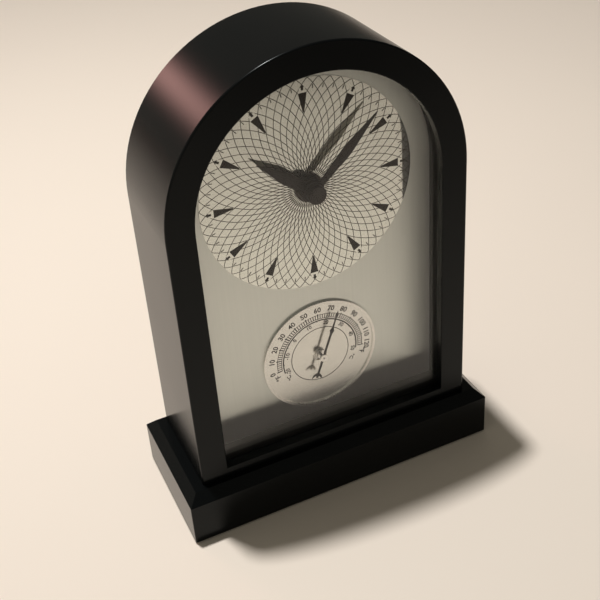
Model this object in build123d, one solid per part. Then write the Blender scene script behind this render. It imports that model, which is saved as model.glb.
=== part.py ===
"""Arch-top mantel clock with a dial thermometer, as an assembly of its separate pieces.

Millimetres, +Z up, the front faces -Y, and the origin is the centre of the base's underside.
Outlines are drawn as seen from the front, X to the right and Z up, and given a depth along Y.
"""

import os
from math import cos, radians, sin

from build123d import *

# Base: a felt sheet under a lacquered plinth whose top edge is bevelled all round.
FELT_THICKNESS = 0.8
FELT_INSET = 2.0
BASE_SIDE_MARGIN = 7.5
BASE_FRONT_MARGIN = 5.75
BASE_BAND_TOP = 18.3
BASE_BEVEL = 3.7
BASE_EDGE_ROUND = 0.5

# Case: a bent arch, open front and back, standing on the plinth.
FRAME_WIDTH = 10.4
SILL_HEIGHT = 4.3
LIP_DEPTH = 3.5
WALL = 6.5
FLOOR = 2.3
CASE_EDGE_ROUND = 0.8
LIP_EDGE_ROUND = 0.4
DROP_IN_FIT = 0.2

# What the case holds, from the front to the back.
GLASS_THICKNESS = 2.0
SPACER_WALL = 1.2
PLATE_THICKNESS = 0.8
DIAL_THICKNESS = 0.3
BOARD_THICKNESS = 3.0
PANEL_THICKNESS = 3.0
WINDOW_MARGIN = 2.0
WINDOW_ROUND = 3.0
BLOCK_WIDTH = 6.3
BATTEN_LENGTH = 75.0
BATTEN_TOP_GAP = 7.0
FLOOR_BLOCK_HEIGHT = 9.7
TOP_BLOCK_SPAN = 40.0

# Screws.
CASE_SCREW_SPACING = 70.0
CASE_SCREW_RADIUS = 2.0
CASE_SCREW_HEAD_RADIUS = 3.8
CASE_SCREW_HEAD = 2.4
CASE_SCREW_LENGTH = 22.0
CASE_SCREW_RECESS = 8.0
CASE_SCREW_CLEARANCE = 0.3
PANEL_SCREW_RADIUS = 1.25
PANEL_SCREW_HEAD_RADIUS = 2.6
PANEL_SCREW_HEAD = 1.2
PANEL_SCREW_LENGTH = 10.0
PANEL_SCREW_INSET = 9.0
SLOT_WIDTH_SHARE = 0.28
SLOT_DEPTH_SHARE = 0.5

# Dial and hands.
DIAL_RADIUS = 40.85
DIAL_MARGIN = 5.75
DIAL_BELOW_ARCH = 0.4
HAND_THICKNESS = 0.35
HOUR_HAND_LIFT = 2.8
HOUR_HAND_ANGLE = -52.2
HOUR_HAND_REACH = 24.9
HOUR_HAND_WIDEST_AT = 12.0
HOUR_HAND_HALF_WIDTH = 2.3
HOUR_HAND_ROOT_HALF_WIDTH = 1.5
HOUR_HUB_RADIUS = 4.2
MINUTE_HAND_LIFT = 4.45
MINUTE_HAND_ANGLE = 46.4
MINUTE_HAND_REACH = 35.3
MINUTE_HAND_WIDEST_AT = 20.0
MINUTE_HAND_HALF_WIDTH = 1.95
MINUTE_HAND_ROOT_HALF_WIDTH = 1.0
MINUTE_HUB_RADIUS = 3.9
HAND_TIP_HALF_WIDTH = 0.12
CAP_NUT_RADIUS = 3.45
CAP_NUT_LENGTH = 2.8
CAP_NUT_ROUND = 0.35
CAP_NUT_WALL = 0.7
CAP_NUT_TO_GLASS = 0.6

# Movement, from the front: case walls, fixing bush and nut.
MOVEMENT_DEPTH = 16.0
MOVEMENT_ROUND = 2.0
MOVEMENT_WALL = 1.5
MOVEMENT_FACE = 1.2
GASKET_THICKNESS = 0.8
GASKET_RADIUS = 9.0
BUSH_RADIUS = 4.0
BUSH_ABOVE_DIAL = 2.3
BUSH_HOLE_FIT = 0.1
WASHER_RADIUS = 5.4
WASHER_THICKNESS = 0.5
NUT_ACROSS_FLATS = 9.0
NUT_THICKNESS = 1.6

# Gear train: teeth, modules, and the levels at which the wheels lie.
ROOT_DEPTH = 1.15
TIP_HEIGHT = 0.8
ROOT_HALF_SHARE = 0.29
TIP_HALF_SHARE = 0.12
MOTION_MODULE = 0.45
CENTRE_WHEEL_CLEARANCE = 0.408
THIRD_WHEEL_CLEARANCE = 0.6
CANNON_TEETH = 10
MOTION_WHEEL_TEETH = 30
MOTION_PINION_TEETH = 8
HOUR_TEETH = 32
CENTRE_TEETH = 60
THIRD_PINION_TEETH = 8
THIRD_TEETH = 64
SECONDS_PINION_TEETH = 8
SECONDS_TEETH = 60
INTERMEDIATE_PINION_TEETH = 10
INTERMEDIATE_TEETH = 50
ROTOR_PINION_TEETH = 10
SETTING_DIRECTION = 135.0
THIRD_DIRECTION = 50.0
SECONDS_DIRECTION = 60.0
INTERMEDIATE_DIRECTION = 15.0
ROTOR_DIRECTION = -60.0
MOTION_THICKNESS = 1.0
END_SHAKE = 0.3
WHEEL_THICKNESS = 0.7
PINION_OVERHANG = 0.3
LEVEL_GAP = 0.8
LEVEL_PITCH = 1.75
TRAIN_PLATE_THICKNESS = 1.0
TRAIN_PLATE_GAP = 0.7
TRAIN_PLATE_FIT = 0.2

# Arbors and their bearings.
RUNNING_FIT = 0.05
HOUR_TUBE_RADIUS = 2.5
MINUTE_ARBOR_RADIUS = 1.6
REAR_ARBOR_RADIUS = 1.0
MINUTE_THREAD_RADIUS = 1.25
SETTING_SHAFT_RADIUS = 1.2
THICK_PIVOT_RADIUS = 0.6
TRAIN_ARBOR_RADIUS = 0.5
PIVOT_RADIUS = 0.3
PIVOT_LENGTH = 0.8
CLUTCH_WASHER_RADIUS = 2.0
CLUTCH_WASHER_THICKNESS = 0.4
KNOB_RADIUS = 6.0
KNOB_LENGTH = 3.6
KNOB_GAP = 0.3
KNOB_TO_PANEL = 0.5
KNOB_RIBS = 24
KNOB_RIB_RADIUS = 0.45

# Stepping motor, circuit and battery.
ROTOR_RADIUS = 3.0
ROTOR_LENGTH = 3.0
ROTOR_GAP = 0.5
ROTOR_SETBACK = 1.9
STATOR_THICKNESS = 1.0
STATOR_ARM = 2.4
STATOR_REACH = 6.5
STATOR_WALL_GAP = 1.4
STATOR_BAR_HALF = 4.1
COIL_GAP = 1.5
CORE_WIDTH = 2.0
BOBBIN_FIT = 0.1
BOBBIN_FLANGE = 0.6
BOBBIN_FLANGE_RADIUS = 3.1
BOBBIN_TUBE_RADIUS = 1.7
WINDING_RADIUS = 2.8
STATOR_POST_RADIUS = 1.0
BOARD_POST_INSET = 4.0
POST_RADIUS = 1.6
MOVEMENT_SCREW_RADIUS = 0.7
MOVEMENT_SCREW_HEAD_RADIUS = 1.4
MOVEMENT_SCREW_HEAD = 0.6
MOVEMENT_SCREW_END_GAP = 1.0
CIRCUIT_THICKNESS = 0.8
CIRCUIT_BELOW_ARBOR = 1.4
CIRCUIT_FIT = 0.2
CHIP_RADIUS = 2.5
CHIP_HEIGHT = 0.9
CHIP_OFFSET = -8.0
CRYSTAL_RADIUS = 1.0
CRYSTAL_LENGTH = 6.0
CRYSTAL_OFFSET = -17.0
BATTERY_RADIUS = 7.25
BATTERY_LENGTH = 50.5
BATTERY_NUB_RADIUS = 2.75
BATTERY_NUB = 1.0
BATTERY_FIT = 0.2
BATTERY_END_FIT = 0.05
BAY_FLOOR = 0.9
BAY_WALL = 1.0
CONTACT_THICKNESS = 0.4
CONTACT_HALF_WIDTH = 5.0
CONTACT_DOME = 1.6
CONTACT_DOME_RADIUS = 4.0
CONTACT_TIP_RADIUS = 2.5
CONTACT_TAB = 2.0
CONTACT_SLOT_FIT = 0.3

# Thermometer insert below the dial.
RIM_TO_SILL = 3.5
RIM_TO_DIAL = 8.65
RIM_RADIUS = 23.8
RIM_WIDTH = 1.0
RIM_LIFT = 1.0
SCALE_THICKNESS = 0.4
SCALE_HOLE_RADIUS = 2.9
CUP_RADIUS = 10.0
CUP_WALL = 0.6
CUP_DEPTH = 7.0
CUP_FIT = 0.1
CUP_LEDGE = 1.0
VENT_RADIUS = 0.8
VENT_CIRCLE = 6.0
VENTS = 6
BRIDGE_HALF_WIDTH = 2.4
BRIDGE_THICKNESS = 0.6
PIVOT_BUSH_RADIUS = 2.2
PIVOT_BUSH_LIFT = 1.0
PIVOT_BUSH_ROUND = 0.4
POINTER_ARBOR_RADIUS = 0.5
POINTER_LIFT = 3.1
POINTER_THICKNESS = 0.3
POINTER_ANGLE = 20.8
POINTER_REACH = 20.4
POINTER_TIP_HALF_WIDTH = 0.12
POINTER_HALF_WIDTH = 0.42
POINTER_BEAD_AT = 12.0
POINTER_BEAD_HALF_WIDTH = 0.95
POINTER_BEAD_HALF_LENGTH = 1.3
POINTER_TAIL = 9.2
POINTER_ANCHOR_RADIUS = 2.0
POINTER_ANCHOR_BITE = 1.1
COLLAR_RADIUS = 1.5
COLLAR_THICKNESS = 0.5
COIL_TURNS = 5
COIL_STRIP = 0.25
COIL_INNER_RADIUS = 1.2
COIL_WIDTH = 2.5
COIL_FIT = 0.05

# Heights and half-widths that follow from the sizes above.
CASE_BOTTOM = BASE_BAND_TOP + BASE_BEVEL
OPENING_BOTTOM = CASE_BOTTOM + SILL_HEIGHT
THERMOMETER_Z = OPENING_BOTTOM + RIM_TO_SILL + RIM_RADIUS
DIAL_Z = THERMOMETER_Z + RIM_RADIUS + RIM_TO_DIAL + DIAL_RADIUS
ARCH_Z = DIAL_Z + DIAL_BELOW_ARCH
OPENING_HALF_WIDTH = DIAL_RADIUS + DIAL_MARGIN
CASE_HALF_WIDTH = OPENING_HALF_WIDTH + FRAME_WIDTH
BASE_WIDTH = 2 * (CASE_HALF_WIDTH + BASE_SIDE_MARGIN)
POCKET_HALF_WIDTH = CASE_HALF_WIDTH - WALL
POCKET_BOTTOM = CASE_BOTTOM + FLOOR
INSERT_HALF_WIDTH = POCKET_HALF_WIDTH - DROP_IN_FIT
INSERT_BOTTOM = POCKET_BOTTOM + DROP_IN_FIT

# Depths of the faces in the case, front to back. The stack of pieces sets the case's depth.
HANDS_DEPTH = DIAL_THICKNESS + MINUTE_HAND_LIFT + HAND_THICKNESS + CAP_NUT_LENGTH
SPACER_LENGTH = HANDS_DEPTH + CAP_NUT_TO_GLASS
FRONT_STACK = LIP_DEPTH + GLASS_THICKNESS + SPACER_LENGTH + PLATE_THICKNESS + BOARD_THICKNESS
MOVEMENT_STACK = GASKET_THICKNESS + MOVEMENT_DEPTH + KNOB_GAP + KNOB_LENGTH + KNOB_TO_PANEL
CASE_DEPTH = FRONT_STACK + MOVEMENT_STACK + PANEL_THICKNESS
BASE_DEPTH = CASE_DEPTH + 2 * BASE_FRONT_MARGIN
CASE_FRONT = -CASE_DEPTH / 2
CASE_BACK = CASE_DEPTH / 2
GLASS_FRONT = CASE_FRONT + LIP_DEPTH
GLASS_BACK = GLASS_FRONT + GLASS_THICKNESS
PLATE_FRONT = GLASS_BACK + SPACER_LENGTH
PLATE_BACK = PLATE_FRONT + PLATE_THICKNESS
DIAL_FRONT = PLATE_FRONT - DIAL_THICKNESS
BOARD_BACK = PLATE_BACK + BOARD_THICKNESS
PANEL_FRONT = CASE_BACK - PANEL_THICKNESS
MOVEMENT_FRONT = BOARD_BACK + GASKET_THICKNESS
MOVEMENT_BACK = MOVEMENT_FRONT + MOVEMENT_DEPTH
MOVEMENT_INSIDE = MOVEMENT_FRONT + MOVEMENT_FACE
COVER_FRONT = MOVEMENT_BACK - MOVEMENT_FACE

# Depths of the layers in the movement.
HOUR_FRONT = MOVEMENT_INSIDE + END_SHAKE
HOUR_BACK = HOUR_FRONT + MOTION_THICKNESS
CANNON_FRONT = HOUR_BACK + END_SHAKE
CANNON_BACK = CANNON_FRONT + MOTION_THICKNESS
TRAIN_PLATE_FRONT = CANNON_BACK + TRAIN_PLATE_GAP
TRAIN_PLATE_BACK = TRAIN_PLATE_FRONT + TRAIN_PLATE_THICKNESS
HOUR_HAND_BACK = DIAL_FRONT - HOUR_HAND_LIFT
HOUR_HAND_FRONT = HOUR_HAND_BACK - HAND_THICKNESS
MINUTE_HAND_BACK = DIAL_FRONT - MINUTE_HAND_LIFT
MINUTE_HAND_FRONT = MINUTE_HAND_BACK - HAND_THICKNESS
CAP_FRONT = MINUTE_HAND_FRONT - CAP_NUT_LENGTH
ROTOR_FRONT = TRAIN_PLATE_BACK + ROTOR_SETBACK
ROTOR_BACK = ROTOR_FRONT + ROTOR_LENGTH
STATOR_FRONT = (ROTOR_FRONT + ROTOR_BACK - STATOR_THICKNESS) / 2
STATOR_BACK = STATOR_FRONT + STATOR_THICKNESS
CIRCUIT_FRONT = COVER_FRONT - CIRCUIT_THICKNESS
KNOB_FRONT = MOVEMENT_BACK + KNOB_GAP

# Movement outline and battery bay. The cell and its contacts set the movement's width.
BAY_LENGTH = BATTERY_LENGTH + 2 * (CONTACT_THICKNESS + BATTERY_END_FIT) + CONTACT_DOME
INNER_HALF = BAY_LENGTH / 2
MOVEMENT_HALF = INNER_HALF + MOVEMENT_WALL
MOVEMENT_SIZE = 2 * MOVEMENT_HALF
WINDOW = MOVEMENT_SIZE + 2 * WINDOW_MARGIN
BAY_BOTTOM = DIAL_Z - INNER_HALF
BAY_TOP = BAY_BOTTOM + 2 * (BATTERY_RADIUS + BATTERY_FIT)
TRAIN_BOTTOM = BAY_TOP + BAY_WALL
TRAIN_TOP = DIAL_Z + INNER_HALF
BATTERY_Z = (BAY_BOTTOM + BAY_TOP) / 2
BATTERY_Y = MOVEMENT_FRONT + BAY_FLOOR + BATTERY_FIT + BATTERY_RADIUS
BATTERY_RIGHT = INNER_HALF - CONTACT_THICKNESS - BATTERY_END_FIT
BATTERY_LEFT = BATTERY_RIGHT - BATTERY_LENGTH


def polar(radius, angle, centre=(0.0, 0.0)):
    """Point at a radius and an angle, counter-clockwise from +X in the front view."""
    return centre[0] + radius * cos(radians(angle)), centre[1] + radius * sin(radians(angle))


def layer(outline, front, back):
    """Front-view outline thickened from y = front to y = back."""
    return extrude(Plane.XZ.offset(-back) * outline, amount=back - front, dir=(0, -1, 0))


def disc(radius, front, back, centre=(0.0, DIAL_Z)):
    """Cylinder along Y around a point of the front view."""
    return layer(Pos(*centre) * Circle(radius), front, back)


def arch(half_width, bottom):
    """Straight-sided outline from bottom up to a half circle on the case's arch centre."""
    outline = Line((-half_width, bottom), (half_width, bottom))
    outline += Line((half_width, bottom), (half_width, ARCH_Z))
    outline += CenterArc((0, ARCH_Z), half_width, 0, 180)
    outline += Line((-half_width, ARCH_Z), (-half_width, bottom))
    return make_face(outline)


def box_between(low, high):
    """Box from its lowest corner to its highest."""
    size = [high[i] - low[i] for i in range(3)]
    middle = [(high[i] + low[i]) / 2 for i in range(3)]
    return Pos(*middle) * Box(*size)


def screw(radius, head_radius, head, length):
    """Pan-head screw with a cross recess, shank along -Z and the head above z = 0."""
    body = Pos(0, 0, -length / 2) * Cylinder(radius, length)
    body += Pos(0, 0, head / 2) * Cylinder(head_radius, head)
    slot_width = head_radius * SLOT_WIDTH_SHARE
    slot_depth = head * SLOT_DEPTH_SHARE
    arm = Pos(0, 0, head - slot_depth / 2) * Box(1.3 * head_radius, slot_width, slot_depth)
    return body - arm - Rot(0, 0, 90) * arm


def mesh_distance(module, *teeth):
    """Centre distance of two wheels in mesh."""
    return module * sum(teeth) / 2


def filling_module(teeth, tip_radius):
    """Module of a wheel whose tips reach a radius, just clear of the next arbor."""
    return tip_radius / (teeth / 2 + TIP_HEIGHT)


def meshed_phase(driver_teeth, driver_phase, driven_teeth, direction):
    """Angle of a driven wheel's tooth that sets its gap over the driver's tooth."""
    lead = ((direction - driver_phase) * driver_teeth / 360) % 1
    return direction + 180 + (lead + 0.5) * 360 / driven_teeth


def gear(teeth, module, phase, centre, front, back):
    """Spur wheel whose teeth have straight flanks, slim enough to run with backlash."""
    pitch_radius = module * teeth / 2
    root = pitch_radius - ROOT_DEPTH * module
    tip = pitch_radius + TIP_HEIGHT * module
    flank = (
        (root, -ROOT_HALF_SHARE),
        (tip, -TIP_HALF_SHARE),
        (tip, TIP_HALF_SHARE),
        (root, ROOT_HALF_SHARE),
    )
    pitch = 360 / teeth
    points = [
        polar(radius, phase + (tooth + share) * pitch, centre)
        for tooth in range(teeth)
        for radius, share in flank
    ]
    return layer(make_face(Polyline(*points, close=True)), front, back)


def level(number):
    """Front and back of the train wheel on a level, counted back from the train plate."""
    front = TRAIN_PLATE_BACK + LEVEL_GAP + number * LEVEL_PITCH
    return front, front + WHEEL_THICKNESS


def pinion_level(number):
    """Front and back of a pinion that meshes with the wheel on a level."""
    front, back = level(number)
    return front - PINION_OVERHANG, back + PINION_OVERHANG


# Axes of the arbors in the front view.
HAND_AXIS = (0.0, DIAL_Z)
SETTING_DISTANCE = mesh_distance(MOTION_MODULE, CANNON_TEETH, MOTION_WHEEL_TEETH)
SETTING_AXIS = polar(SETTING_DISTANCE, SETTING_DIRECTION, HAND_AXIS)
TRAIN_MODULE = filling_module(
    CENTRE_TEETH, SETTING_DISTANCE - SETTING_SHAFT_RADIUS - CENTRE_WHEEL_CLEARANCE
)
THIRD_DISTANCE = mesh_distance(TRAIN_MODULE, CENTRE_TEETH, THIRD_PINION_TEETH)
THIRD_AXIS = polar(THIRD_DISTANCE, THIRD_DIRECTION, HAND_AXIS)
FAST_MODULE = filling_module(
    THIRD_TEETH, THIRD_DISTANCE - REAR_ARBOR_RADIUS - THIRD_WHEEL_CLEARANCE
)
SECONDS_AXIS = polar(
    mesh_distance(FAST_MODULE, THIRD_TEETH, SECONDS_PINION_TEETH), SECONDS_DIRECTION, THIRD_AXIS
)
INTERMEDIATE_AXIS = polar(
    mesh_distance(FAST_MODULE, SECONDS_TEETH, INTERMEDIATE_PINION_TEETH),
    INTERMEDIATE_DIRECTION,
    SECONDS_AXIS,
)
ROTOR_AXIS = polar(
    mesh_distance(FAST_MODULE, INTERMEDIATE_TEETH, ROTOR_PINION_TEETH),
    ROTOR_DIRECTION,
    INTERMEDIATE_AXIS,
)
TRAIN_AXES = (THIRD_AXIS, SECONDS_AXIS, INTERMEDIATE_AXIS, ROTOR_AXIS)

# Corner posts of the movement, and the motor's coil below its rotor.
POST_CENTRES = [
    (side * (INNER_HALF - BOARD_POST_INSET), TRAIN_TOP - BOARD_POST_INSET) for side in (-1, 1)
]
COIL_Z = TRAIN_BOTTOM + COIL_GAP + BOBBIN_FLANGE_RADIUS
CIRCUIT_BOTTOM = TRAIN_BOTTOM + CIRCUIT_FIT
CIRCUIT_TOP = DIAL_Z - REAR_ARBOR_RADIUS - CIRCUIT_BELOW_ARBOR
CIRCUIT_Z = (CIRCUIT_BOTTOM + CIRCUIT_TOP) / 2
COIL_Y = STATOR_BACK + STATOR_THICKNESS / 2
STATOR_LEFT = ROTOR_AXIS[0] - STATOR_REACH
STATOR_RIGHT = INNER_HALF - STATOR_WALL_GAP
COIL_X = (STATOR_LEFT + STATOR_RIGHT) / 2
BOBBIN_LENGTH = STATOR_RIGHT - STATOR_LEFT - 2 * (STATOR_ARM + BOBBIN_FIT)
STATOR_POST_Z = (COIL_Z + ROTOR_AXIS[1] - STATOR_BAR_HALF) / 2
STATOR_POSTS = [
    (STATOR_LEFT + STATOR_ARM / 2, STATOR_POST_Z),
    (STATOR_RIGHT - STATOR_ARM / 2, STATOR_POST_Z),
]


def base_felt():
    """Felt sheet that the clock stands on."""
    width = BASE_WIDTH - 2 * FELT_INSET
    depth = BASE_DEPTH - 2 * FELT_INSET
    return box_between((-width / 2, -depth / 2, 0), (width / 2, depth / 2, FELT_THICKNESS))


def case_screw_places():
    """The two screws' places across the base."""
    return [side * CASE_SCREW_SPACING / 2 for side in (-1, 1)]


def base_plinth():
    """Plinth: an upright band, a bevel on its top edge, two counterbored holes from below."""
    band = box_between(
        (-BASE_WIDTH / 2, -BASE_DEPTH / 2, FELT_THICKNESS),
        (BASE_WIDTH / 2, BASE_DEPTH / 2, CASE_BOTTOM),
    )
    plinth = chamfer(band.edges().group_by(Axis.Z)[-1], BASE_BEVEL)
    plinth = fillet(plinth.edges().filter_by(Axis.Z), BASE_EDGE_ROUND)
    for x in case_screw_places():
        recess_top = FELT_THICKNESS + CASE_SCREW_RECESS
        recess_radius = CASE_SCREW_HEAD_RADIUS + CASE_SCREW_CLEARANCE
        recess = Pos(x, 0, recess_top / 2) * Cylinder(recess_radius, recess_top)
        hole = Pos(x, 0, CASE_BOTTOM / 2) * Cylinder(
            CASE_SCREW_RADIUS + CASE_SCREW_CLEARANCE, CASE_BOTTOM
        )
        plinth = plinth - recess - hole
    return plinth


def case_screws():
    """Two wood screws from under the plinth up into the case's floor block."""
    one = screw(CASE_SCREW_RADIUS, CASE_SCREW_HEAD_RADIUS, CASE_SCREW_HEAD, CASE_SCREW_LENGTH)
    upright = Pos(0, 0, FELT_THICKNESS + CASE_SCREW_RECESS) * Rot(180, 0, 0) * one
    return [Pos(x, 0, 0) * upright for x in case_screw_places()]


def screw_bores(part):
    """Part with the case screws' shanks bored out of it, glued or threaded face to face."""
    for x in case_screw_places():
        top = FELT_THICKNESS + CASE_SCREW_RECESS + CASE_SCREW_LENGTH
        part = part - Pos(x, 0, top / 2) * Cylinder(CASE_SCREW_RADIUS, top)
    return part


def case_shell():
    """Arch with a lip round its front opening and one pocket behind it, open at the back."""
    shell = layer(arch(CASE_HALF_WIDTH, CASE_BOTTOM), CASE_FRONT, CASE_BACK)
    outer_rim = shell.edges().group_by(Axis.Y)[0].filter_by(lambda edge: edge.center().Z > CASE_BOTTOM)
    shell = fillet(outer_rim, CASE_EDGE_ROUND)
    shell -= layer(arch(POCKET_HALF_WIDTH, POCKET_BOTTOM), GLASS_FRONT, CASE_BACK)
    opening = layer(arch(OPENING_HALF_WIDTH, OPENING_BOTTOM), CASE_FRONT, GLASS_FRONT)
    shell -= opening
    inner_rim = [
        edge
        for edge in shell.edges().group_by(Axis.Y)[0]
        if abs(edge.center().X) < CASE_HALF_WIDTH - FRAME_WIDTH / 2 - CASE_EDGE_ROUND
        and edge.center().Z > CASE_BOTTOM + SILL_HEIGHT / 2
        and edge.center().Z < ARCH_Z + CASE_HALF_WIDTH - FRAME_WIDTH / 2
    ]
    shell = fillet(inner_rim, LIP_EDGE_ROUND)
    return screw_bores(shell)


def floor_block():
    """Wood block glued on the case floor, which takes the case screws and the back panel."""
    block = box_between(
        (-POCKET_HALF_WIDTH, BOARD_BACK, POCKET_BOTTOM),
        (POCKET_HALF_WIDTH, PANEL_FRONT, POCKET_BOTTOM + FLOOR_BLOCK_HEIGHT),
    )
    return panel_screw_bores(screw_bores(block))


def batten_middle():
    """Height of the middle of the side battens."""
    return ARCH_Z - BATTEN_TOP_GAP - BATTEN_LENGTH / 2


def corner_blocks():
    """Two upright battens and a crown block, glued inside the case behind the backing board."""
    blocks = []
    for side in (-1, 1):
        outer = side * POCKET_HALF_WIDTH
        inner = side * (POCKET_HALF_WIDTH - BLOCK_WIDTH)
        low = (min(outer, inner), BOARD_BACK, batten_middle() - BATTEN_LENGTH / 2)
        high = (max(outer, inner), PANEL_FRONT, batten_middle() + BATTEN_LENGTH / 2)
        blocks.append(box_between(low, high))
    ring = Circle(POCKET_HALF_WIDTH) - Circle(POCKET_HALF_WIDTH - BLOCK_WIDTH)
    crown = Pos(0, POCKET_HALF_WIDTH) * Rectangle(TOP_BLOCK_SPAN, 2 * BLOCK_WIDTH + TOP_BLOCK_SPAN / 4)
    blocks.append(layer(Pos(0, ARCH_Z) * (ring & crown), BOARD_BACK, PANEL_FRONT))
    return [panel_screw_bores(block) for block in blocks]


def panel_screw_places():
    """Back panel screws: four on the battens, one at the crown, two on the floor block."""
    batten_x = POCKET_HALF_WIDTH - BLOCK_WIDTH / 2
    reach = BATTEN_LENGTH / 2 - PANEL_SCREW_INSET
    places = [(side * batten_x, batten_middle() + end * reach) for side in (-1, 1) for end in (-1, 1)]
    places.append((0, ARCH_Z + batten_x))
    floor_z = POCKET_BOTTOM + FLOOR_BLOCK_HEIGHT / 2
    places += [(side * (batten_x - PANEL_SCREW_INSET), floor_z) for side in (-1, 1)]
    return places


def panel_screw_bores(part):
    """Part with the back panel screws' shanks bored out of it."""
    for place in panel_screw_places():
        part = part - disc(PANEL_SCREW_RADIUS, CASE_BACK - PANEL_SCREW_LENGTH, CASE_BACK, place)
    return part


def panel_screws():
    """Pan-head screws through the back panel."""
    one = screw(PANEL_SCREW_RADIUS, PANEL_SCREW_HEAD_RADIUS, PANEL_SCREW_HEAD, PANEL_SCREW_LENGTH)
    return [Pos(x, CASE_BACK, z) * Rot(-90, 0, 0) * one for x, z in panel_screw_places()]


def back_panel():
    """Back panel flush with the case, with a window that leaves the movement in reach."""
    window = Pos(*HAND_AXIS) * RectangleRounded(WINDOW, WINDOW, WINDOW_ROUND)
    outline = arch(INSERT_HALF_WIDTH, INSERT_BOTTOM) - window
    return panel_screw_bores(layer(outline, PANEL_FRONT, CASE_BACK))


def glass_lens():
    """Flat arch-shaped pane behind the lip."""
    return layer(arch(INSERT_HALF_WIDTH, INSERT_BOTTOM), GLASS_FRONT, GLASS_BACK)


def spacer_ring():
    """Thin arch-shaped wall that keeps the glass off the dial plate."""
    inner = arch(INSERT_HALF_WIDTH - SPACER_WALL, INSERT_BOTTOM + SPACER_WALL)
    return layer(arch(INSERT_HALF_WIDTH, INSERT_BOTTOM) - inner, GLASS_BACK, PLATE_FRONT)


def pierced_sheet(front, back):
    """Arch-shaped sheet with holes for the movement's bush and the thermometer's cup."""
    sheet = layer(arch(INSERT_HALF_WIDTH, INSERT_BOTTOM), front, back)
    sheet -= disc(BUSH_RADIUS + BUSH_HOLE_FIT, front, back)
    return sheet - disc(CUP_RADIUS + CUP_FIT, front, back, (0, THERMOMETER_Z))


def dial_plate():
    """Brushed metal sheet that carries the dial and the thermometer."""
    return pierced_sheet(PLATE_FRONT, PLATE_BACK)


def backing_board():
    """Board that stiffens the dial plate and carries the movement."""
    return pierced_sheet(PLATE_BACK, BOARD_BACK)


def clock_dial():
    """Polished disc under the hands."""
    hole = disc(BUSH_RADIUS + BUSH_HOLE_FIT, DIAL_FRONT, PLATE_FRONT)
    return disc(DIAL_RADIUS, DIAL_FRONT, PLATE_FRONT) - hole


def movement_gasket():
    """Rubber ring between the movement and the backing board."""
    hole = disc(BUSH_RADIUS + BUSH_HOLE_FIT, BOARD_BACK, MOVEMENT_FRONT)
    return disc(GASKET_RADIUS, BOARD_BACK, MOVEMENT_FRONT) - hole


def mounting_bush():
    """Threaded brass bush, moulded into the movement's face."""
    front = DIAL_FRONT - BUSH_ABOVE_DIAL
    bore = disc(HOUR_TUBE_RADIUS + RUNNING_FIT, front, MOVEMENT_INSIDE)
    return disc(BUSH_RADIUS, front, MOVEMENT_INSIDE) - bore


def dial_washer():
    """Brass washer between the dial and the nut."""
    front = DIAL_FRONT - WASHER_THICKNESS
    return disc(WASHER_RADIUS, front, DIAL_FRONT) - disc(BUSH_RADIUS, front, DIAL_FRONT)


def dial_nut():
    """Hexagonal nut that clamps the dial on the bush."""
    back = DIAL_FRONT - WASHER_THICKNESS
    front = back - NUT_THICKNESS
    hexagon = Pos(*HAND_AXIS) * RegularPolygon(NUT_ACROSS_FLATS / 2, 6, major_radius=False)
    return layer(hexagon, front, back) - disc(BUSH_RADIUS, front, back)


def contact_slot(side):
    """Slot in the battery bay's wall for one contact's tab."""
    inner = side * (INNER_HALF - CONTACT_THICKNESS - CONTACT_SLOT_FIT)
    outer = side * INNER_HALF
    low = (min(inner, outer), CIRCUIT_FRONT - CONTACT_TAB - CONTACT_SLOT_FIT, BAY_TOP)
    high = (max(inner, outer), CIRCUIT_FRONT, TRAIN_BOTTOM)
    return box_between(low, high)


def movement_housing():
    """Front housing: a pocket for the train, an open bay for the battery, two corner posts."""
    outline = Pos(*HAND_AXIS) * RectangleRounded(MOVEMENT_SIZE, MOVEMENT_SIZE, MOVEMENT_ROUND)
    housing = layer(outline, MOVEMENT_FRONT, MOVEMENT_BACK)
    housing -= box_between(
        (-INNER_HALF, MOVEMENT_INSIDE, TRAIN_BOTTOM), (INNER_HALF, MOVEMENT_BACK, TRAIN_TOP)
    )
    housing -= box_between(
        (-MOVEMENT_HALF, COVER_FRONT, TRAIN_BOTTOM),
        (MOVEMENT_HALF, MOVEMENT_BACK, DIAL_Z + MOVEMENT_HALF),
    )
    housing -= box_between(
        (-INNER_HALF, MOVEMENT_FRONT + BAY_FLOOR, BAY_BOTTOM), (INNER_HALF, MOVEMENT_BACK, BAY_TOP)
    )
    for side in (-1, 1):
        housing -= contact_slot(side)
    for centre in POST_CENTRES:
        housing += disc(POST_RADIUS, MOVEMENT_INSIDE, TRAIN_PLATE_FRONT, centre)
        housing -= disc(MOVEMENT_SCREW_RADIUS, MOVEMENT_INSIDE, TRAIN_PLATE_FRONT, centre)
    housing -= disc(BUSH_RADIUS, MOVEMENT_FRONT, MOVEMENT_INSIDE)
    pivot_radius = THICK_PIVOT_RADIUS + RUNNING_FIT
    return housing - disc(pivot_radius, MOVEMENT_INSIDE - PIVOT_LENGTH, MOVEMENT_INSIDE, SETTING_AXIS)


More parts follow.
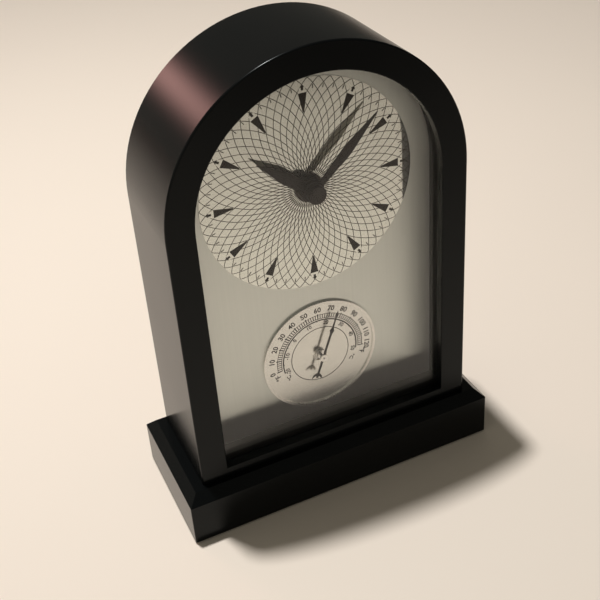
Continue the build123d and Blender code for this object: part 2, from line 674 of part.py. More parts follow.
def train_plate():
    """Plate between the motion work and the train, with bearings and the stator's posts."""
    half = INNER_HALF - TRAIN_PLATE_FIT
    plate = box_between(
        (-half, TRAIN_PLATE_FRONT, TRAIN_BOTTOM + TRAIN_PLATE_FIT),
        (half, TRAIN_PLATE_BACK, TRAIN_TOP - TRAIN_PLATE_FIT),
    )
    bores = [
        (HAND_AXIS, REAR_ARBOR_RADIUS + RUNNING_FIT),
        (SETTING_AXIS, SETTING_SHAFT_RADIUS + RUNNING_FIT),
    ]
    bores += [(axis, PIVOT_RADIUS + RUNNING_FIT) for axis in TRAIN_AXES]
    bores += [(centre, MOVEMENT_SCREW_RADIUS) for centre in POST_CENTRES]
    for centre, radius in bores:
        plate -= disc(radius, TRAIN_PLATE_FRONT, TRAIN_PLATE_BACK, centre)
    for centre in STATOR_POSTS:
        plate += disc(STATOR_POST_RADIUS, TRAIN_PLATE_BACK, STATOR_FRONT, centre)
    return plate


def movement_cover():
    """Rear cover over the train, with the arbors' rear bearings and two screw posts."""
    low_z = TRAIN_BOTTOM
    high_z = DIAL_Z + MOVEMENT_HALF
    cover = box_between(
        (-MOVEMENT_HALF, COVER_FRONT, low_z), (MOVEMENT_HALF, MOVEMENT_BACK, high_z)
    )
    for centre in POST_CENTRES:
        cover += disc(POST_RADIUS, TRAIN_PLATE_BACK, COVER_FRONT, centre)
        cover -= disc(MOVEMENT_SCREW_RADIUS, TRAIN_PLATE_BACK, MOVEMENT_BACK, centre)
    for axis in TRAIN_AXES:
        cover -= disc(PIVOT_RADIUS + RUNNING_FIT, COVER_FRONT, COVER_FRONT + PIVOT_LENGTH, axis)
    cover -= disc(THICK_PIVOT_RADIUS + RUNNING_FIT, COVER_FRONT, COVER_FRONT + PIVOT_LENGTH)
    return cover - disc(SETTING_SHAFT_RADIUS + RUNNING_FIT, COVER_FRONT, MOVEMENT_BACK, SETTING_AXIS)


def movement_screws():
    """Two screws that clamp the cover, the train plate and the housing together."""
    length = MOVEMENT_BACK - MOVEMENT_INSIDE - MOVEMENT_SCREW_END_GAP
    one = screw(MOVEMENT_SCREW_RADIUS, MOVEMENT_SCREW_HEAD_RADIUS, MOVEMENT_SCREW_HEAD, length)
    return [Pos(x, MOVEMENT_BACK, z) * Rot(-90, 0, 0) * one for x, z in POST_CENTRES]


def hour_wheel():
    """Hour wheel and its tube, which turns in the bush and carries the hour hand."""
    phase = meshed_phase(MOTION_PINION_TEETH, 0, HOUR_TEETH, SETTING_DIRECTION + 180)
    wheel = gear(HOUR_TEETH, MOTION_MODULE, phase, HAND_AXIS, HOUR_FRONT, HOUR_BACK)
    wheel += disc(HOUR_TUBE_RADIUS, HOUR_HAND_FRONT, HOUR_BACK)
    return wheel - disc(MINUTE_ARBOR_RADIUS + RUNNING_FIT, HOUR_HAND_FRONT, HOUR_BACK)


def minute_arbor():
    """Arbor through the whole movement: cannon pinion, shoulder for the hand, thread, pivot."""
    arbor = gear(CANNON_TEETH, MOTION_MODULE, 0, HAND_AXIS, CANNON_FRONT, CANNON_BACK)
    arbor += disc(MINUTE_ARBOR_RADIUS, MINUTE_HAND_BACK, CANNON_BACK)
    arbor += disc(MINUTE_THREAD_RADIUS, CAP_FRONT + CAP_NUT_WALL, MINUTE_HAND_BACK)
    arbor += disc(REAR_ARBOR_RADIUS, CANNON_BACK, COVER_FRONT - END_SHAKE)
    pivot_end = COVER_FRONT + PIVOT_LENGTH - RUNNING_FIT
    return arbor + disc(THICK_PIVOT_RADIUS, COVER_FRONT - END_SHAKE, pivot_end)


def clutch_washer():
    """Pressed washer that keeps the centre wheel on the minute arbor with a light drag."""
    front = level(0)[1] + RUNNING_FIT
    back = front + CLUTCH_WASHER_THICKNESS
    return disc(CLUTCH_WASHER_RADIUS, front, back) - disc(REAR_ARBOR_RADIUS, front, back)


def centre_wheel():
    """Centre wheel, which slips on the minute arbor while the hands are set."""
    front, back = level(0)
    bore = disc(REAR_ARBOR_RADIUS + RUNNING_FIT, front, back)
    return gear(CENTRE_TEETH, TRAIN_MODULE, 0, HAND_AXIS, front, back) - bore


def train_arbor(axis):
    """Arbor with a pivot at each end, from the train plate to the rear cover."""
    shoulder_front = TRAIN_PLATE_BACK + END_SHAKE
    shoulder_back = COVER_FRONT - END_SHAKE
    arbor = disc(TRAIN_ARBOR_RADIUS, shoulder_front, shoulder_back, axis)
    arbor += disc(PIVOT_RADIUS, TRAIN_PLATE_FRONT, shoulder_front, axis)
    pivot_end = COVER_FRONT + PIVOT_LENGTH - RUNNING_FIT
    return arbor + disc(PIVOT_RADIUS, shoulder_back, pivot_end, axis)


def third_wheel():
    """Third wheel, driving the centre wheel through its pinion."""
    phase = meshed_phase(CENTRE_TEETH, 0, THIRD_PINION_TEETH, THIRD_DIRECTION)
    pinion = gear(THIRD_PINION_TEETH, TRAIN_MODULE, phase, THIRD_AXIS, *pinion_level(0))
    return train_arbor(THIRD_AXIS) + pinion + gear(THIRD_TEETH, FAST_MODULE, 0, THIRD_AXIS, *level(1))


def seconds_wheel():
    """Wheel that turns once a minute."""
    phase = meshed_phase(THIRD_TEETH, 0, SECONDS_PINION_TEETH, SECONDS_DIRECTION)
    pinion = gear(SECONDS_PINION_TEETH, FAST_MODULE, phase, SECONDS_AXIS, *pinion_level(1))
    wheel = gear(SECONDS_TEETH, FAST_MODULE, 0, SECONDS_AXIS, *level(2))
    return train_arbor(SECONDS_AXIS) + pinion + wheel


def intermediate_wheel():
    """Wheel between the rotor and the seconds wheel."""
    phase = meshed_phase(SECONDS_TEETH, 0, INTERMEDIATE_PINION_TEETH, INTERMEDIATE_DIRECTION)
    pinion = gear(
        INTERMEDIATE_PINION_TEETH, FAST_MODULE, phase, INTERMEDIATE_AXIS, *pinion_level(2)
    )
    wheel = gear(INTERMEDIATE_TEETH, FAST_MODULE, 0, INTERMEDIATE_AXIS, *level(3))
    return train_arbor(INTERMEDIATE_AXIS) + pinion + wheel


def rotor_pinion():
    """Rotor's arbor and pinion."""
    phase = meshed_phase(INTERMEDIATE_TEETH, 0, ROTOR_PINION_TEETH, ROTOR_DIRECTION)
    pinion = gear(ROTOR_PINION_TEETH, FAST_MODULE, phase, ROTOR_AXIS, *pinion_level(3))
    return train_arbor(ROTOR_AXIS) + pinion


def rotor_magnet():
    """Two-pole magnet of the stepping motor."""
    bore = disc(TRAIN_ARBOR_RADIUS, ROTOR_FRONT, ROTOR_BACK, ROTOR_AXIS)
    return disc(ROTOR_RADIUS, ROTOR_FRONT, ROTOR_BACK, ROTOR_AXIS) - bore


def stator():
    """Stator: a pole bar with the rotor's hole, and two arms down to the coil's core."""
    bar_low = ROTOR_AXIS[1] - STATOR_BAR_HALF
    bar_high = ROTOR_AXIS[1] + STATOR_BAR_HALF
    plate = box_between((STATOR_LEFT, STATOR_FRONT, bar_low), (STATOR_RIGHT, STATOR_BACK, bar_high))
    foot = COIL_Z - CORE_WIDTH / 2
    for left in (STATOR_LEFT, STATOR_RIGHT - STATOR_ARM):
        plate += box_between((left, STATOR_FRONT, foot), (left + STATOR_ARM, STATOR_BACK, bar_low))
    return plate - disc(ROTOR_RADIUS + ROTOR_GAP, STATOR_FRONT, STATOR_BACK, ROTOR_AXIS)


def coil_core():
    """Iron bar through the coil, lying on the stator's arms."""
    return box_between(
        (STATOR_LEFT, STATOR_BACK, COIL_Z - CORE_WIDTH / 2),
        (STATOR_RIGHT, STATOR_BACK + STATOR_THICKNESS, COIL_Z + CORE_WIDTH / 2),
    )


def coil_cylinder(radius, length):
    """Cylinder along X on the coil's axis, centred between the stator's arms."""
    return Pos(COIL_X, COIL_Y, COIL_Z) * Rot(0, 90, 0) * Cylinder(radius, length)


def coil_bobbin():
    """Plastic bobbin: a tube between two flanges."""
    spool = coil_cylinder(BOBBIN_TUBE_RADIUS, BOBBIN_LENGTH)
    for side in (-1, 1):
        shift = side * (BOBBIN_LENGTH - BOBBIN_FLANGE) / 2
        spool += Pos(shift, 0, 0) * coil_cylinder(BOBBIN_FLANGE_RADIUS, BOBBIN_FLANGE)
    return spool - coil_core()


def coil_winding():
    """Copper winding between the bobbin's flanges."""
    length = BOBBIN_LENGTH - 2 * BOBBIN_FLANGE
    return coil_cylinder(WINDING_RADIUS, length) - coil_cylinder(BOBBIN_TUBE_RADIUS, length)


def circuit_board():
    """Circuit board on the inside of the rear cover, above the battery bay."""
    half = INNER_HALF - CIRCUIT_FIT
    return box_between((-half, CIRCUIT_FRONT, CIRCUIT_BOTTOM), (half, COVER_FRONT, CIRCUIT_TOP))


def clock_chip():
    """Potted chip on the circuit board."""
    return disc(CHIP_RADIUS, CIRCUIT_FRONT - CHIP_HEIGHT, CIRCUIT_FRONT, (CHIP_OFFSET, CIRCUIT_Z))


def quartz_crystal():
    """Crystal in its can, lying on the circuit board."""
    place = Pos(CRYSTAL_OFFSET, CIRCUIT_FRONT - CRYSTAL_RADIUS, CIRCUIT_Z)
    return place * Rot(0, 90, 0) * Cylinder(CRYSTAL_RADIUS, CRYSTAL_LENGTH)


def contact_strip(side):
    """Contact plate on the end wall of the bay, with a tab up to the circuit board."""
    inner = side * (INNER_HALF - CONTACT_THICKNESS)
    outer = side * INNER_HALF
    near, far = min(inner, outer), max(inner, outer)
    strip = box_between(
        (near, BATTERY_Y - CONTACT_HALF_WIDTH, BATTERY_Z - CONTACT_HALF_WIDTH),
        (far, CIRCUIT_FRONT, BATTERY_Z + CONTACT_HALF_WIDTH),
    )
    return strip + box_between(
        (near, CIRCUIT_FRONT - CONTACT_TAB, BATTERY_Z), (far, CIRCUIT_FRONT, CIRCUIT_Z)
    )


def positive_contact():
    """Flat contact at the battery's nub."""
    return contact_strip(1)


def negative_contact():
    """Domed contact at the battery's flat end."""
    dome = Cone(CONTACT_DOME_RADIUS, CONTACT_TIP_RADIUS, CONTACT_DOME)
    place = Pos(-INNER_HALF + CONTACT_THICKNESS + CONTACT_DOME / 2, BATTERY_Y, BATTERY_Z)
    return contact_strip(-1) + place * Rot(0, 90, 0) * dome


def battery():
    """AA cell, its nub to the right."""
    can_length = BATTERY_LENGTH - BATTERY_NUB
    can = Pos(BATTERY_LEFT + can_length / 2, BATTERY_Y, BATTERY_Z) * Rot(0, 90, 0)
    nub = Pos(BATTERY_RIGHT - BATTERY_NUB / 2, BATTERY_Y, BATTERY_Z) * Rot(0, 90, 0)
    cell = can * Cylinder(BATTERY_RADIUS, can_length)
    return cell + nub * Cylinder(BATTERY_NUB_RADIUS, BATTERY_NUB)


def setting_shaft():
    """Setting shaft with the pinion that drives the hour wheel."""
    shaft = gear(MOTION_PINION_TEETH, MOTION_MODULE, 0, SETTING_AXIS, HOUR_FRONT, HOUR_BACK)
    shaft += disc(SETTING_SHAFT_RADIUS, HOUR_FRONT, KNOB_FRONT + KNOB_LENGTH / 2, SETTING_AXIS)
    pivot_front = MOVEMENT_INSIDE - PIVOT_LENGTH + RUNNING_FIT
    return shaft + disc(THICK_PIVOT_RADIUS, pivot_front, HOUR_FRONT, SETTING_AXIS)


def motion_wheel():
    """Wheel on the setting shaft, in mesh with the cannon pinion."""
    phase = meshed_phase(CANNON_TEETH, 0, MOTION_WHEEL_TEETH, SETTING_DIRECTION)
    wheel = gear(
        MOTION_WHEEL_TEETH, MOTION_MODULE, phase, SETTING_AXIS, CANNON_FRONT, CANNON_BACK
    )
    return wheel - disc(SETTING_SHAFT_RADIUS, CANNON_FRONT, CANNON_BACK, SETTING_AXIS)


def setting_knob():
    """Ribbed knob on the back, for setting the hands."""
    back = KNOB_FRONT + KNOB_LENGTH
    knob = disc(KNOB_RADIUS, KNOB_FRONT, back, SETTING_AXIS)
    for rib in range(KNOB_RIBS):
        groove = polar(KNOB_RADIUS, rib * 360 / KNOB_RIBS, SETTING_AXIS)
        knob -= disc(KNOB_RIB_RADIUS, KNOB_FRONT, back, groove)
    return knob - disc(SETTING_SHAFT_RADIUS, KNOB_FRONT, KNOB_FRONT + KNOB_LENGTH / 2, SETTING_AXIS)


def leaf(root_half, widest_at, widest_half, reach):
    """Hand outline along +Y from the hub: swelling sides, then a straight taper to the tip."""
    sides = []
    for side in (-1, 1):
        swell = (side * (root_half + widest_half) / 2 * 1.04, widest_at / 2)
        shoulder = (side * widest_half, widest_at)
        sides.append(ThreePointArc((side * root_half, 0), swell, shoulder))
        sides.append(Line(shoulder, (side * HAND_TIP_HALF_WIDTH, reach)))
    sides.append(Line((-root_half, 0), (root_half, 0)))
    sides.append(Line((-HAND_TIP_HALF_WIDTH, reach), (HAND_TIP_HALF_WIDTH, reach)))
    return make_face(sides)


def hour_hand():
    """Leaf hour hand, pushed on the hour tube."""
    blade = leaf(
        HOUR_HAND_ROOT_HALF_WIDTH, HOUR_HAND_WIDEST_AT, HOUR_HAND_HALF_WIDTH, HOUR_HAND_REACH
    )
    outline = Rot(0, 0, -HOUR_HAND_ANGLE) * blade + Circle(HOUR_HUB_RADIUS) - Circle(HOUR_TUBE_RADIUS)
    return layer(Pos(*HAND_AXIS) * outline, HOUR_HAND_FRONT, HOUR_HAND_BACK)


def minute_hand():
    """Leaf minute hand, clamped on the minute arbor's shoulder."""
    blade = leaf(
        MINUTE_HAND_ROOT_HALF_WIDTH,
        MINUTE_HAND_WIDEST_AT,
        MINUTE_HAND_HALF_WIDTH,
        MINUTE_HAND_REACH,
    )
    turned = Rot(0, 0, -MINUTE_HAND_ANGLE) * blade
    outline = turned + Circle(MINUTE_HUB_RADIUS) - Circle(MINUTE_THREAD_RADIUS)
    return layer(Pos(*HAND_AXIS) * outline, MINUTE_HAND_FRONT, MINUTE_HAND_BACK)


def cap_nut():
    """Closed nut that clamps the minute hand."""
    nut = disc(CAP_NUT_RADIUS, CAP_FRONT, MINUTE_HAND_FRONT)
    nut = fillet(nut.edges().group_by(Axis.Y)[0], CAP_NUT_ROUND)
    return nut - disc(MINUTE_THREAD_RADIUS, CAP_FRONT + CAP_NUT_WALL, MINUTE_HAND_FRONT)


def insert_disc(radius, front, back):
    """Cylinder on the thermometer's axis."""
    return disc(radius, front, back, (0, THERMOMETER_Z))


def thermometer_rim():
    """Thin raised ring around the scale."""
    front = PLATE_FRONT - RIM_LIFT
    return insert_disc(RIM_RADIUS, front, PLATE_FRONT) - insert_disc(
        RIM_RADIUS - RIM_WIDTH, front, PLATE_FRONT
    )


def thermometer_scale():
    """Polished scale disc with a hole for the pointer's bush."""
    front = PLATE_FRONT - SCALE_THICKNESS
    disc_radius = RIM_RADIUS - RIM_WIDTH
    return insert_disc(disc_radius, front, PLATE_FRONT) - insert_disc(
        SCALE_HOLE_RADIUS, front, PLATE_FRONT
    )


def thermometer_cup():
    """Cup behind the scale for the bimetal coil, with a stepped mouth and vents in its back."""
    back = PLATE_FRONT + CUP_DEPTH
    cup = insert_disc(CUP_RADIUS, PLATE_FRONT, back)
    cup -= insert_disc(CUP_RADIUS - CUP_WALL - CUP_LEDGE, PLATE_FRONT, back - CUP_WALL)
    cup -= insert_disc(CUP_RADIUS - CUP_WALL, PLATE_FRONT, PLATE_FRONT + BRIDGE_THICKNESS)
    cup -= insert_disc(POINTER_ARBOR_RADIUS + RUNNING_FIT, back - CUP_WALL, back)
    for vent in range(VENTS):
        place = polar(VENT_CIRCLE, vent * 360 / VENTS, (0, THERMOMETER_Z))
        cup -= disc(VENT_RADIUS, back - CUP_WALL, back, place)
    return cup


def pivot_bridge():
    """Bar across the cup's mouth, with the polished bush that the pointer turns in."""
    back = PLATE_FRONT + BRIDGE_THICKNESS
    reach = CUP_RADIUS - CUP_WALL
    bar = Pos(0, THERMOMETER_Z) * (Circle(reach) & Rectangle(2 * reach, 2 * BRIDGE_HALF_WIDTH))
    bush = insert_disc(PIVOT_BUSH_RADIUS, PLATE_FRONT - PIVOT_BUSH_LIFT, PLATE_FRONT)
    bush = fillet(bush.edges().group_by(Axis.Y)[0], PIVOT_BUSH_ROUND)
    bore = insert_disc(POINTER_ARBOR_RADIUS + RUNNING_FIT, PLATE_FRONT - PIVOT_BUSH_LIFT, back)
    return layer(bar, PLATE_FRONT, back) + bush - bore


def pointer_arbor():
    """Pointer's arbor, from the cup's back to the collar."""
    front = PLATE_FRONT - POINTER_LIFT - POINTER_THICKNESS - COLLAR_THICKNESS
    return insert_disc(POINTER_ARBOR_RADIUS, front, PLATE_FRONT + CUP_DEPTH)


def pointer():
    """Thermometer pointer: a needle with a lozenge bead, and an anchor-shaped tail weight."""
    half, bead = POINTER_HALF_WIDTH, POINTER_BEAD_HALF_WIDTH
    before = POINTER_BEAD_AT - POINTER_BEAD_HALF_LENGTH
    after = POINTER_BEAD_AT + POINTER_BEAD_HALF_LENGTH
    right = [
        (half, -POINTER_TAIL),
        (half, before),
        (bead, POINTER_BEAD_AT),
        (POINTER_TIP_HALF_WIDTH + half / 2, after),
        (POINTER_TIP_HALF_WIDTH, POINTER_REACH),
    ]
    left = [(-x, y) for x, y in reversed(right)]
    needle = make_face(Polyline(*right, *left, close=True))
    anchor = Pos(0, -POINTER_TAIL) * Circle(POINTER_ANCHOR_RADIUS)
    bite = Pos(0, -POINTER_TAIL - POINTER_ANCHOR_BITE) * Circle(POINTER_ANCHOR_RADIUS)
    outline = needle + (anchor - bite) + Circle(COLLAR_RADIUS) - Circle(POINTER_ARBOR_RADIUS)
    turned = Pos(0, THERMOMETER_Z) * Rot(0, 0, -POINTER_ANGLE) * outline
    back = PLATE_FRONT - POINTER_LIFT
    return layer(turned, back - POINTER_THICKNESS, back)


def pointer_collar():
    """Polished washer that holds the pointer on its arbor."""
    back = PLATE_FRONT - POINTER_LIFT - POINTER_THICKNESS
    front = back - COLLAR_THICKNESS
    return insert_disc(COLLAR_RADIUS, front, back) - insert_disc(POINTER_ARBOR_RADIUS, front, back)


def coil_radius(turn):
    """Middle radius of the bimetal strip after a number of turns."""
    inner = COIL_INNER_RADIUS + COIL_STRIP / 2
    outer = CUP_RADIUS - CUP_WALL - CUP_LEDGE - COIL_STRIP / 2 - COIL_FIT
    return inner + (outer - inner) * turn / COIL_TURNS


def bimetal_coil():
    """Flat spiral of bimetal strip, from the arbor's collet out to the cup's wall."""
    steps = 12 * COIL_TURNS
    turns = [step / 12 for step in range(steps + 1)]
    edges = []
    for offset in (-COIL_STRIP / 2, COIL_STRIP / 2):
        points = [polar(coil_radius(turn) + offset, 360 * turn) for turn in turns]
        edges.append(Spline(*points))
    edges.append(Line(edges[0] @ 0, edges[1] @ 0))
    edges.append(Line(edges[0] @ 1, edges[1] @ 1))
    back = PLATE_FRONT + CUP_DEPTH - CUP_WALL - COIL_STRIP
    return layer(Pos(0, THERMOMETER_Z) * make_face(edges), back - COIL_WIDTH, back)


def coil_collet():
    """Collet on the arbor, which the coil's inner end turns."""
    back = PLATE_FRONT + CUP_DEPTH - CUP_WALL - COIL_STRIP
    front = back - COIL_WIDTH
    radius = COIL_INNER_RADIUS - COIL_FIT
    return insert_disc(radius, front, back) - insert_disc(POINTER_ARBOR_RADIUS, front, back)


PIECES = (
    base_felt,
    base_plinth,
    case_screws,
    case_shell,
    floor_block,
    corner_blocks,
    glass_lens,
    spacer_ring,
    dial_plate,
    clock_dial,
    backing_board,
    back_panel,
    panel_screws,
    movement_gasket,
    mounting_bush,
    dial_washer,
    dial_nut,
    movement_housing,
    train_plate,
    movement_cover,
    movement_screws,
    hour_wheel,
    minute_arbor,
    clutch_washer,
    centre_wheel,
    third_wheel,
    seconds_wheel,
    intermediate_wheel,
    rotor_pinion,
    rotor_magnet,
    stator,
    coil_core,
    coil_bobbin,
    coil_winding,
    circuit_board,
    clock_chip,
    quartz_crystal,
    positive_contact,
    negative_contact,
    battery,
    setting_shaft,
    motion_wheel,
    setting_knob,
    hour_hand,
    minute_hand,
    cap_nut,
    thermometer_rim,
    thermometer_scale,
    thermometer_cup,
    pivot_bridge,
    pointer_arbor,
    pointer,
    pointer_collar,
    bimetal_coil,
    coil_collet,
)

os.makedirs("parts", exist_ok=True)
for make_piece in PIECES:
    shape = make_piece()
    if isinstance(shape, list):
        shape = Compound(children=shape)
    shape.label = make_piece.__name__
    export_step(shape, f"parts/{make_piece.__name__}.step")
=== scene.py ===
"""Arch-top mantel clock with a thermometer: its finishes and printing, on a table under a lamp.

Every length is in millimetres until it goes into a mesh, a lamp or a shader, which are in metres.
"""

import bmesh
import bpy
import numpy as np
from mathutils import Matrix, Vector


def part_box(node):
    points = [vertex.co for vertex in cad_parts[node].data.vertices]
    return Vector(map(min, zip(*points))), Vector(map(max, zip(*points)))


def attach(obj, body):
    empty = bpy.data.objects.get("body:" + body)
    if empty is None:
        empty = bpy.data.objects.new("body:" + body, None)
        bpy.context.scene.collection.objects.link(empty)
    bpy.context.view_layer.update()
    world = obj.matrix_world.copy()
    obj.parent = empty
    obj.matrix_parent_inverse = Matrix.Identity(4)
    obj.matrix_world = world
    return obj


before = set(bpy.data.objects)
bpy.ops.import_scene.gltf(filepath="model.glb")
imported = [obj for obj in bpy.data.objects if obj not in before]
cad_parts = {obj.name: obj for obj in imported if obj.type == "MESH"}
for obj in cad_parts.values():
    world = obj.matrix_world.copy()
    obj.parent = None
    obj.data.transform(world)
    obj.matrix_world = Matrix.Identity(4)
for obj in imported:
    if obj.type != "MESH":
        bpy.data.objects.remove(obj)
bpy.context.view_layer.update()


# Plinth and arched case: solid wood under a black satin lacquer, sprayed on, so that it has a faint
# orange peel. The case stands on the plinth and is screwed to it from below.

MM = 0.001
LACQUER_BLACK = (5, 8, 10)
LACQUER_CLOUD = (14, 14, 14)
LACQUER_TINT = (0.93, 0.99, 1.0, 1.0)
CLOUD_SIZE = 45.0
PEEL_SIZE = 1.4
PEEL_DEPTH = 0.006


class Socket:
    """One output of a shader node. Sums and products of sockets and numbers become Math nodes."""

    def __init__(self, finish, socket):
        self.finish = finish
        self.socket = socket

    def math(self, operation, first, second=0.0):
        return self.finish.node("Math", {"operation": operation}, {0: first, 1: second})

    def __add__(self, other):
        return self.math("ADD", self, other)

    def __sub__(self, other):
        return self.math("SUBTRACT", self, other)

    def __rsub__(self, other):
        return self.math("SUBTRACT", other, self)

    def __mul__(self, other):
        return self.math("MULTIPLY", self, other)

    def __truediv__(self, other):
        return self.math("DIVIDE", self, other)

    def __rtruediv__(self, other):
        return self.math("DIVIDE", other, self)

    def __lt__(self, other):
        return self.math("LESS_THAN", self, other)

    def __gt__(self, other):
        return self.math("GREATER_THAN", self, other)

    def __abs__(self):
        return self.math("ABSOLUTE", self)

    __radd__ = __add__
    __rmul__ = __mul__


class Finish:
    """A new material, or a new world, to which node() adds nodes of any type."""

    def __init__(self, name, shelf=bpy.data.materials):
        self.block = shelf.new(name)
        self.block.use_nodes = True
        self.tree = self.block.node_tree
        self.tree.nodes.clear()

    def node(self, kind, settings=None, sockets=None, output=0):
        """Adds a node, with its settings first and then its sockets' values or links."""
        made = self.tree.nodes.new("ShaderNode" + kind)
        for name, value in (settings or {}).items():
            setattr(made, name, value)
        for name, value in (sockets or {}).items():
            if isinstance(value, Socket):
                self.tree.links.new(value.socket, made.inputs[name])
            else:
                made.inputs[name].default_value = value
        return Socket(self, made.outputs[output]) if made.outputs else None

    def place(self):
        """Where a point is in the frame, in metres."""
        return self.node("TexCoord", output="Object")

    def along(self, axis, start=0.0):
        """Distance along an axis from a start in millimetres, in millimetres."""
        part = self.node("SeparateXYZ", {}, {0: self.place()}, "XYZ".index(axis))
        return part * (1 / MM) - start

    def round_from(self, centre, axes="XZ"):
        """Distance from a centre on two axes, the root of both squares' sum, in millimetres."""
        first, second = (self.along(axis, start) for axis, start in zip(axes, centre))
        return self.node("Math", {"operation": "SQRT"}, {0: first * first + second * second})

    def noise(self, size, detail=3.0, roughness=0.5):
        """Noise with spots of one size, or of one along each of x, y and z, in millimetres."""
        scale = (1 / (MM * np.broadcast_to(size, 3))).tolist()
        stretched = self.node("Mapping", {}, {"Vector": self.place(), "Scale": scale})
        sockets = {"Vector": stretched, "Scale": 1.0, "Detail": detail, "Roughness": roughness}
        return self.node("TexNoise", {}, sockets)

    def mix(self, share, first, second):
        """Blend of two colours: the first where share is 0 and the second where it is 1."""
        return self.node("Mix", {"data_type": "RGBA"}, {0: share, 6: first, 7: second}, 2)

    def bump(self, height, depth):
        """Normal of a surface whose height, from 0 to 1, stands for a depth in millimetres."""
        return self.node("Bump", {}, {"Height": height, "Distance": depth * MM, "Strength": 1.0})

    def surface(self, **sockets):
        """The Principled shader that is seen. Words in a socket's name are joined by _."""
        named = {name.replace("_", " "): value for name, value in sockets.items()}
        shader = self.node("BsdfPrincipled", {}, named)
        self.node("OutputMaterial", {}, {"Surface": shader})
        return self.block


def paint(colour, share=1.0):
    """A share of a screen colour as the linear colour that a shader takes, by the sRGB curve.

    Each part of the screen colour runs from 0 to 255. Up to 0.04045 the curve is a line through 0
    of slope 1 / 12.92, and above that the power 2.4 of (part + 0.055) / 1.055.
    """
    part = np.array(colour) * share / 255
    linear = np.where(part <= 0.04045, part / 12.92, ((part + 0.055) / 1.055) ** 2.4)
    return (*linear.tolist(), 1.0)


def dress(material, *nodes):
    """Puts a material on nodes of the frame."""
    for node in nodes:
        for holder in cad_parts[node].material_slots:
            holder.material = material


def black_lacquer():
    """Satin lacquer, a little paler and duller in soft clouds."""
    finish = Finish("black_lacquer_satin")
    clouds = finish.noise(CLOUD_SIZE, detail=2.0)
    peel = finish.noise(PEEL_SIZE, detail=1.0)
    return finish.surface(
        Base_Color=finish.mix(clouds, paint(LACQUER_BLACK), paint(LACQUER_CLOUD)),
        Roughness=0.18 + 0.07 * clouds,
        Specular_IOR_Level=0.17,
        Specular_Tint=LACQUER_TINT,
        Normal=finish.bump(peel, PEEL_DEPTH),
    )


dress(black_lacquer(), "base_plinth", "case_shell")


# Felt sheet under the plinth: short black wool with a matted nap, die-cut a little smaller than the
# plinth and glued on, so that the clock doesn't scratch what it stands on.

FELT_BLACK = (16, 16, 17)
FELT_WORN = (38, 37, 37)
WOOL_FIBRE = 0.25
WOOL_TUFT = 2.5
NAP_DEPTH = 0.2


def black_felt():
    """Matted wool: fine fibre over soft tufts."""
    finish = Finish("black_felt_nap")
    fibre = finish.noise(WOOL_FIBRE, detail=4.0, roughness=0.7)
    tufts = finish.noise(WOOL_TUFT, detail=2.0)
    return finish.surface(
        Base_Color=finish.mix(tufts, paint(FELT_BLACK), paint(FELT_WORN)),
        Roughness=0.95,
        Sheen_Weight=0.4,
        Normal=finish.bump(fibre + tufts, NAP_DEPTH),
    )


dress(black_felt(), "base_felt")


# Glass in front: a sheet of plain float glass, cut to the arch and dropped in behind the lip. The
# spacer ring behind it holds it there.

CLEAR = (1.0, 1.0, 1.0, 1.0)


def clear_glass():
    """Clear float glass, with the green of its iron too faint to see at this thickness."""
    finish = Finish("clear_float_glass")
    return finish.surface(Base_Color=CLEAR, Roughness=0.0, IOR=1.38, Transmission_Weight=1.0)


dress(clear_glass(), "glass_lens")


# Spacer ring behind the glass: a strip of dark grey plastic, bent to the arch, that keeps the hands
# clear of the glass. Its face is moulded with a fine matt grain.

SPACER_GREY = (34, 33, 31)
FLOW_SIZE = 14.0
FLOW_SHADE = 0.82


def moulded_plastic(name, colour, roughness, grain, depth):
    """Moulded plastic: a fine spark-eroded grain over the darker clouds of its flow."""
    finish = Finish(name)
    texture = finish.noise(grain, detail=2.0, roughness=0.6)
    flow = finish.noise(FLOW_SIZE, detail=2.0)
    return finish.surface(
        Base_Color=finish.mix(flow, paint(colour, FLOW_SHADE), paint(colour)),
        Roughness=roughness + 0.1 * texture,
        Specular_IOR_Level=0.4,
        Normal=finish.bump(texture, depth),
    )


spacer_plastic = moulded_plastic(
    "dark_grey_plastic_matt", SPACER_GREY, roughness=0.5, grain=0.35, depth=0.02
)
dress(spacer_plastic, "spacer_ring")


# Dial plate: a sheet of aluminium that fills the arch, brushed from top to bottom and lacquered
# clear, so that it mirrors what lies in front of it, blurred from side to side.

PLATE_LIGHT = (220, 223, 217)
PLATE_GREY = (203, 207, 201)
HAIR_SIZE = (0.12, 40.0, 22.0)
HAIR_SHARE = 0.6
HAIR_DEPTH = 0.006
BAND_SIZE = (1.1, 40.0, 120.0)


def brushed_aluminium():
    """Brushed sheet: hair-fine scratches from top to bottom over longer, fainter bands."""
    finish = Finish("brushed_aluminium_vertical")
    hairs = finish.noise(HAIR_SIZE, roughness=0.65)
    bands = finish.noise(BAND_SIZE, detail=2.0)
    brushing = hairs * HAIR_SHARE + bands * (1 - HAIR_SHARE)
    return finish.surface(
        Base_Color=finish.mix(brushing, paint(PLATE_GREY), paint(PLATE_LIGHT)),
        Metallic=1.0,
        Roughness=0.28 + 0.05 * bands,
        Anisotropic=1.0,
        Normal=finish.bump(hairs, HAIR_DEPTH),
    )


dress(brushed_aluminium(), "dial_plate")


# Dial: a mirror-bright silvered disc on the plate, screen-printed in dark brown with a lattice of
# looped lines, twelve wedges, a dash outside each, and a fine tick for each minute. The space
# between wedge and dash is left clear of the lattice.

